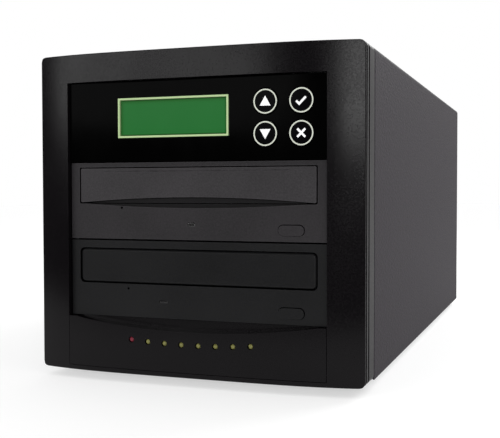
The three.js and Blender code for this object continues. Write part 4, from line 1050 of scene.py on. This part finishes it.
def soften_by_share(piece, radius, share_at, steps):
    """Rounds sharp edges by a share of the radius that depends on where each edge lies."""
    pick_up(piece)
    bpy.ops.object.mode_set(mode="EDIT")
    bpy.ops.mesh.select_mode(type="EDGE")
    bpy.ops.mesh.select_all(action="DESELECT")
    bpy.ops.mesh.edges_select_sharp(sharpness=sharp_turn)
    bpy.ops.object.mode_set(mode="OBJECT")
    weights = piece.data.attributes.new("bevel_weight_edge", "FLOAT", "EDGE")
    for edge in piece.data.edges:
        weights.data[edge.index].value = share_at(edge_middle(piece, edge)) if edge.select else 0
    round_edges(piece, radius, steps, limit_method="WEIGHT")


bezel = merged_copy("front_bezel", "bezel_moulding")
for start in groove_starts:
    widen_groove(bezel, bezel_low.y + start + groove_modelled)
soften_by_share(bezel, outer_rounding, bezel_share, steps=4)
coat(bezel, bezel_black)
paint_faces(bezel, side_black, on_side)
# The grooves' walls and floors are painted near-black as shade.
paint_faces(bezel, groove_painted_shade, in_groove)
fit(bezel, "case", "front_bezel")

# Case cover and its four screws.
# The top and both sides are one bent steel sheet with a dark textured powder coat. Four plated
# pan head screws hold its rear flange.
cover_rounding = 0.35 * mm
screw_rounding = 0.3 * mm
recess_depth = 1.8 * mm
lump_size = 1.6 * mm
speckle_size = 1.5 * mm
coat_relief = 0.22 * mm


def powder_coat(name, tone):
    """Cured powder: small even lumps, a speckle of light and dark grains and worn edges."""
    material, tree, shader = begin_finish(name)
    lumps = pattern(tree, "ShaderNodeTexVoronoi", lump_size, feature="SMOOTH_F1")
    feed(tree, lumps, {"Smoothness": 0.6})
    speckle = grain(tree, speckle_size, detail=4)
    height = maths(tree, "ADD", lumps.outputs["Distance"], ranged(tree, speckle, 0, 0.4))
    share = ranged(tree, speckle, 0, 1, start=0.35, end=0.65)
    face = blended(tree, share, colour_of(tone, 0.78), colour_of(tone, 1.2))
    colour = blended(tree, edge_share(tree, rubbed_edge), face, colour_of(tone, 1.35))
    rough = ranged(tree, speckle, 0.56, 0.74)
    feed(tree, shader, {"Base Color": colour, "Roughness": rough, "Specular IOR Level": 0.08})
    raise_surface(tree, shader, height, coat_relief)
    return material


cover_coat = powder_coat("cover_coat", (50, 46, 51))
make_piece("case_cover", "cover_sheet", "case", cover_coat, cover_rounding)
for side in ("left", "right"):
    for height in ("lower", "upper"):
        node = f"cover_screw_{height}_{side}"
        screw = merged_copy(node, node + "_head")
        soften(screw, screw_rounding)
        screw_low, screw_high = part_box(node)
        top = (screw_low + screw_high) / 2
        top.y = screw_high.y
        cut_cross(screw, top, (screw_high.x - screw_low.x) / 2, recess_depth)
        coat(screw, screw_zinc)
        fit(screw, "case", node)

# Plain pale floor.
# The tower stands near the front edge of a wide sheet of matt pale paper that keeps its shadow.
floor_size = 8
floor_before_front = 0.2
floor_tone = (200, 200, 200)
floor_glow = 0.54
fibre_size = 3 * mm


def ray_kinds(tree):
    """1 for rays straight from the camera, and 1 for those by a shine or through glass."""
    path = put(tree, "ShaderNodeLightPath", {}).outputs
    in_shine = maths(tree, "ADD", path["Is Glossy Ray"], path["Is Transmission Ray"])
    return path["Is Camera Ray"], in_shine


def matt_paper(name, tone):
    """Pale matt paper that looks white where the light on it is full."""
    material, tree, shader = begin_finish(name)
    colour = blended(tree, grain(tree, fibre_size), colour_of(tone, more=-3), colour_of(tone))
    seen = maths(tree, "ADD", *ray_kinds(tree))
    glow = ranged(tree, seen, 0, floor_glow, start=0, end=1)
    feed(tree, shader, {"Base Color": colour, "Roughness": 0.9, "Specular IOR Level": 0.1})
    feed(tree, shader, {"Emission Color": (1, 1, 1, 1), "Emission Strength": glow})
    return material


bpy.ops.object.select_all(action="DESELECT")
floor_middle = bezel_low.y - floor_before_front + floor_size / 2
bpy.ops.mesh.primitive_plane_add(size=floor_size, location=(0, floor_middle, 0))
floor = bpy.context.active_object
floor.name = "floor"
coat(floor, matt_paper("floor_paper", floor_tone))

# Soft studio light.
# The room lights the tower evenly, but in its shine it is white behind the tower and dark behind
# the camera. Two long soft lamps stand before the tower, on the left and on the right, and a
# third stands behind it and grazes its right side.
room_level = 0.8
backdrop_level = 1
dark_side_level = 0.05
backdrop_starts = 0.1
backdrop_full = 0.5
lamp_distance = 1.5
lamp_aim = Vector((0, -0.19, 0.09))
lamp_height = 0.29
soft_lamps = {
    "left_soft_lamp": (4.7, 1.09, math.radians(-36), math.radians(11.7)),
    "right_soft_lamp": (7.2, 0.75, math.radians(23), math.radians(10.7)),
    "rear_soft_lamp": (9, 0.8, math.radians(152), math.radians(28)),
}
room = bpy.data.worlds.new("studio")
bpy.context.scene.world = room
room.use_nodes = True
tree = room.node_tree
depth_axis = axes_of(tree, "Generated")["Y"]
levels = (dark_side_level, backdrop_level)
backdrop = ranged(tree, depth_axis, *levels, backdrop_starts, backdrop_full)
straight, in_shine = ray_kinds(tree)
unseen = put(tree, "ShaderNodeMix", {"Factor": in_shine, "A": room_level, "B": backdrop})
level = maths(tree, "MAXIMUM", unseen.outputs["Result"], straight)
feed(tree, tree.nodes["Background"], {"Color": (1, 1, 1, 1), "Strength": level})
for lamp_name, (energy, width, turn, rise) in soft_lamps.items():
    lamp_data = bpy.data.lights.new(lamp_name, "AREA")
    lamp_data.shape = "RECTANGLE"
    lamp_data.energy = energy
    lamp_data.size = width
    lamp_data.size_y = lamp_height
    soft_lamp = bpy.data.objects.new(lamp_name, lamp_data)
    level_reach = math.cos(rise)
    towards_lamp = Vector((
        math.sin(turn) * level_reach,
        -math.cos(turn) * level_reach,
        math.sin(rise),
    ))
    soft_lamp.location = lamp_aim + lamp_distance * towards_lamp
    soft_lamp.rotation_euler = towards_lamp.to_track_quat("Z", "Y").to_euler()
    bpy.context.scene.collection.objects.link(soft_lamp)

# Camera.
# It stands in front of the tower and to its right, close enough for a strong perspective, a
# little above half the tower's height.
camera_before_front = 394 * mm
camera_right = 186.1 * mm
camera_height = 103.05 * mm
camera_turn = 0.316
camera_tip = -0.03
picture_width = 500
picture_height = 438
focal_pixels = 824.7
centre_column = 292.5
centre_row = 217.6
sensor_width = 36
lens_data = bpy.data.cameras.new("photo_view")
lens_data.sensor_width = sensor_width
lens_data.lens = focal_pixels / picture_width * sensor_width
lens_data.shift_x = (picture_width / 2 - centre_column) / picture_width
lens_data.shift_y = (centre_row - picture_height / 2) / picture_width
camera = bpy.data.objects.new("photo_view", lens_data)
camera.location = (camera_right, bezel_low.y - camera_before_front, camera_height)
camera.rotation_euler = (math.pi / 2 + camera_tip, 0, camera_turn)
bpy.context.scene.collection.objects.link(camera)
bpy.context.scene.camera = camera
bpy.context.scene.view_settings.view_transform = "Standard"
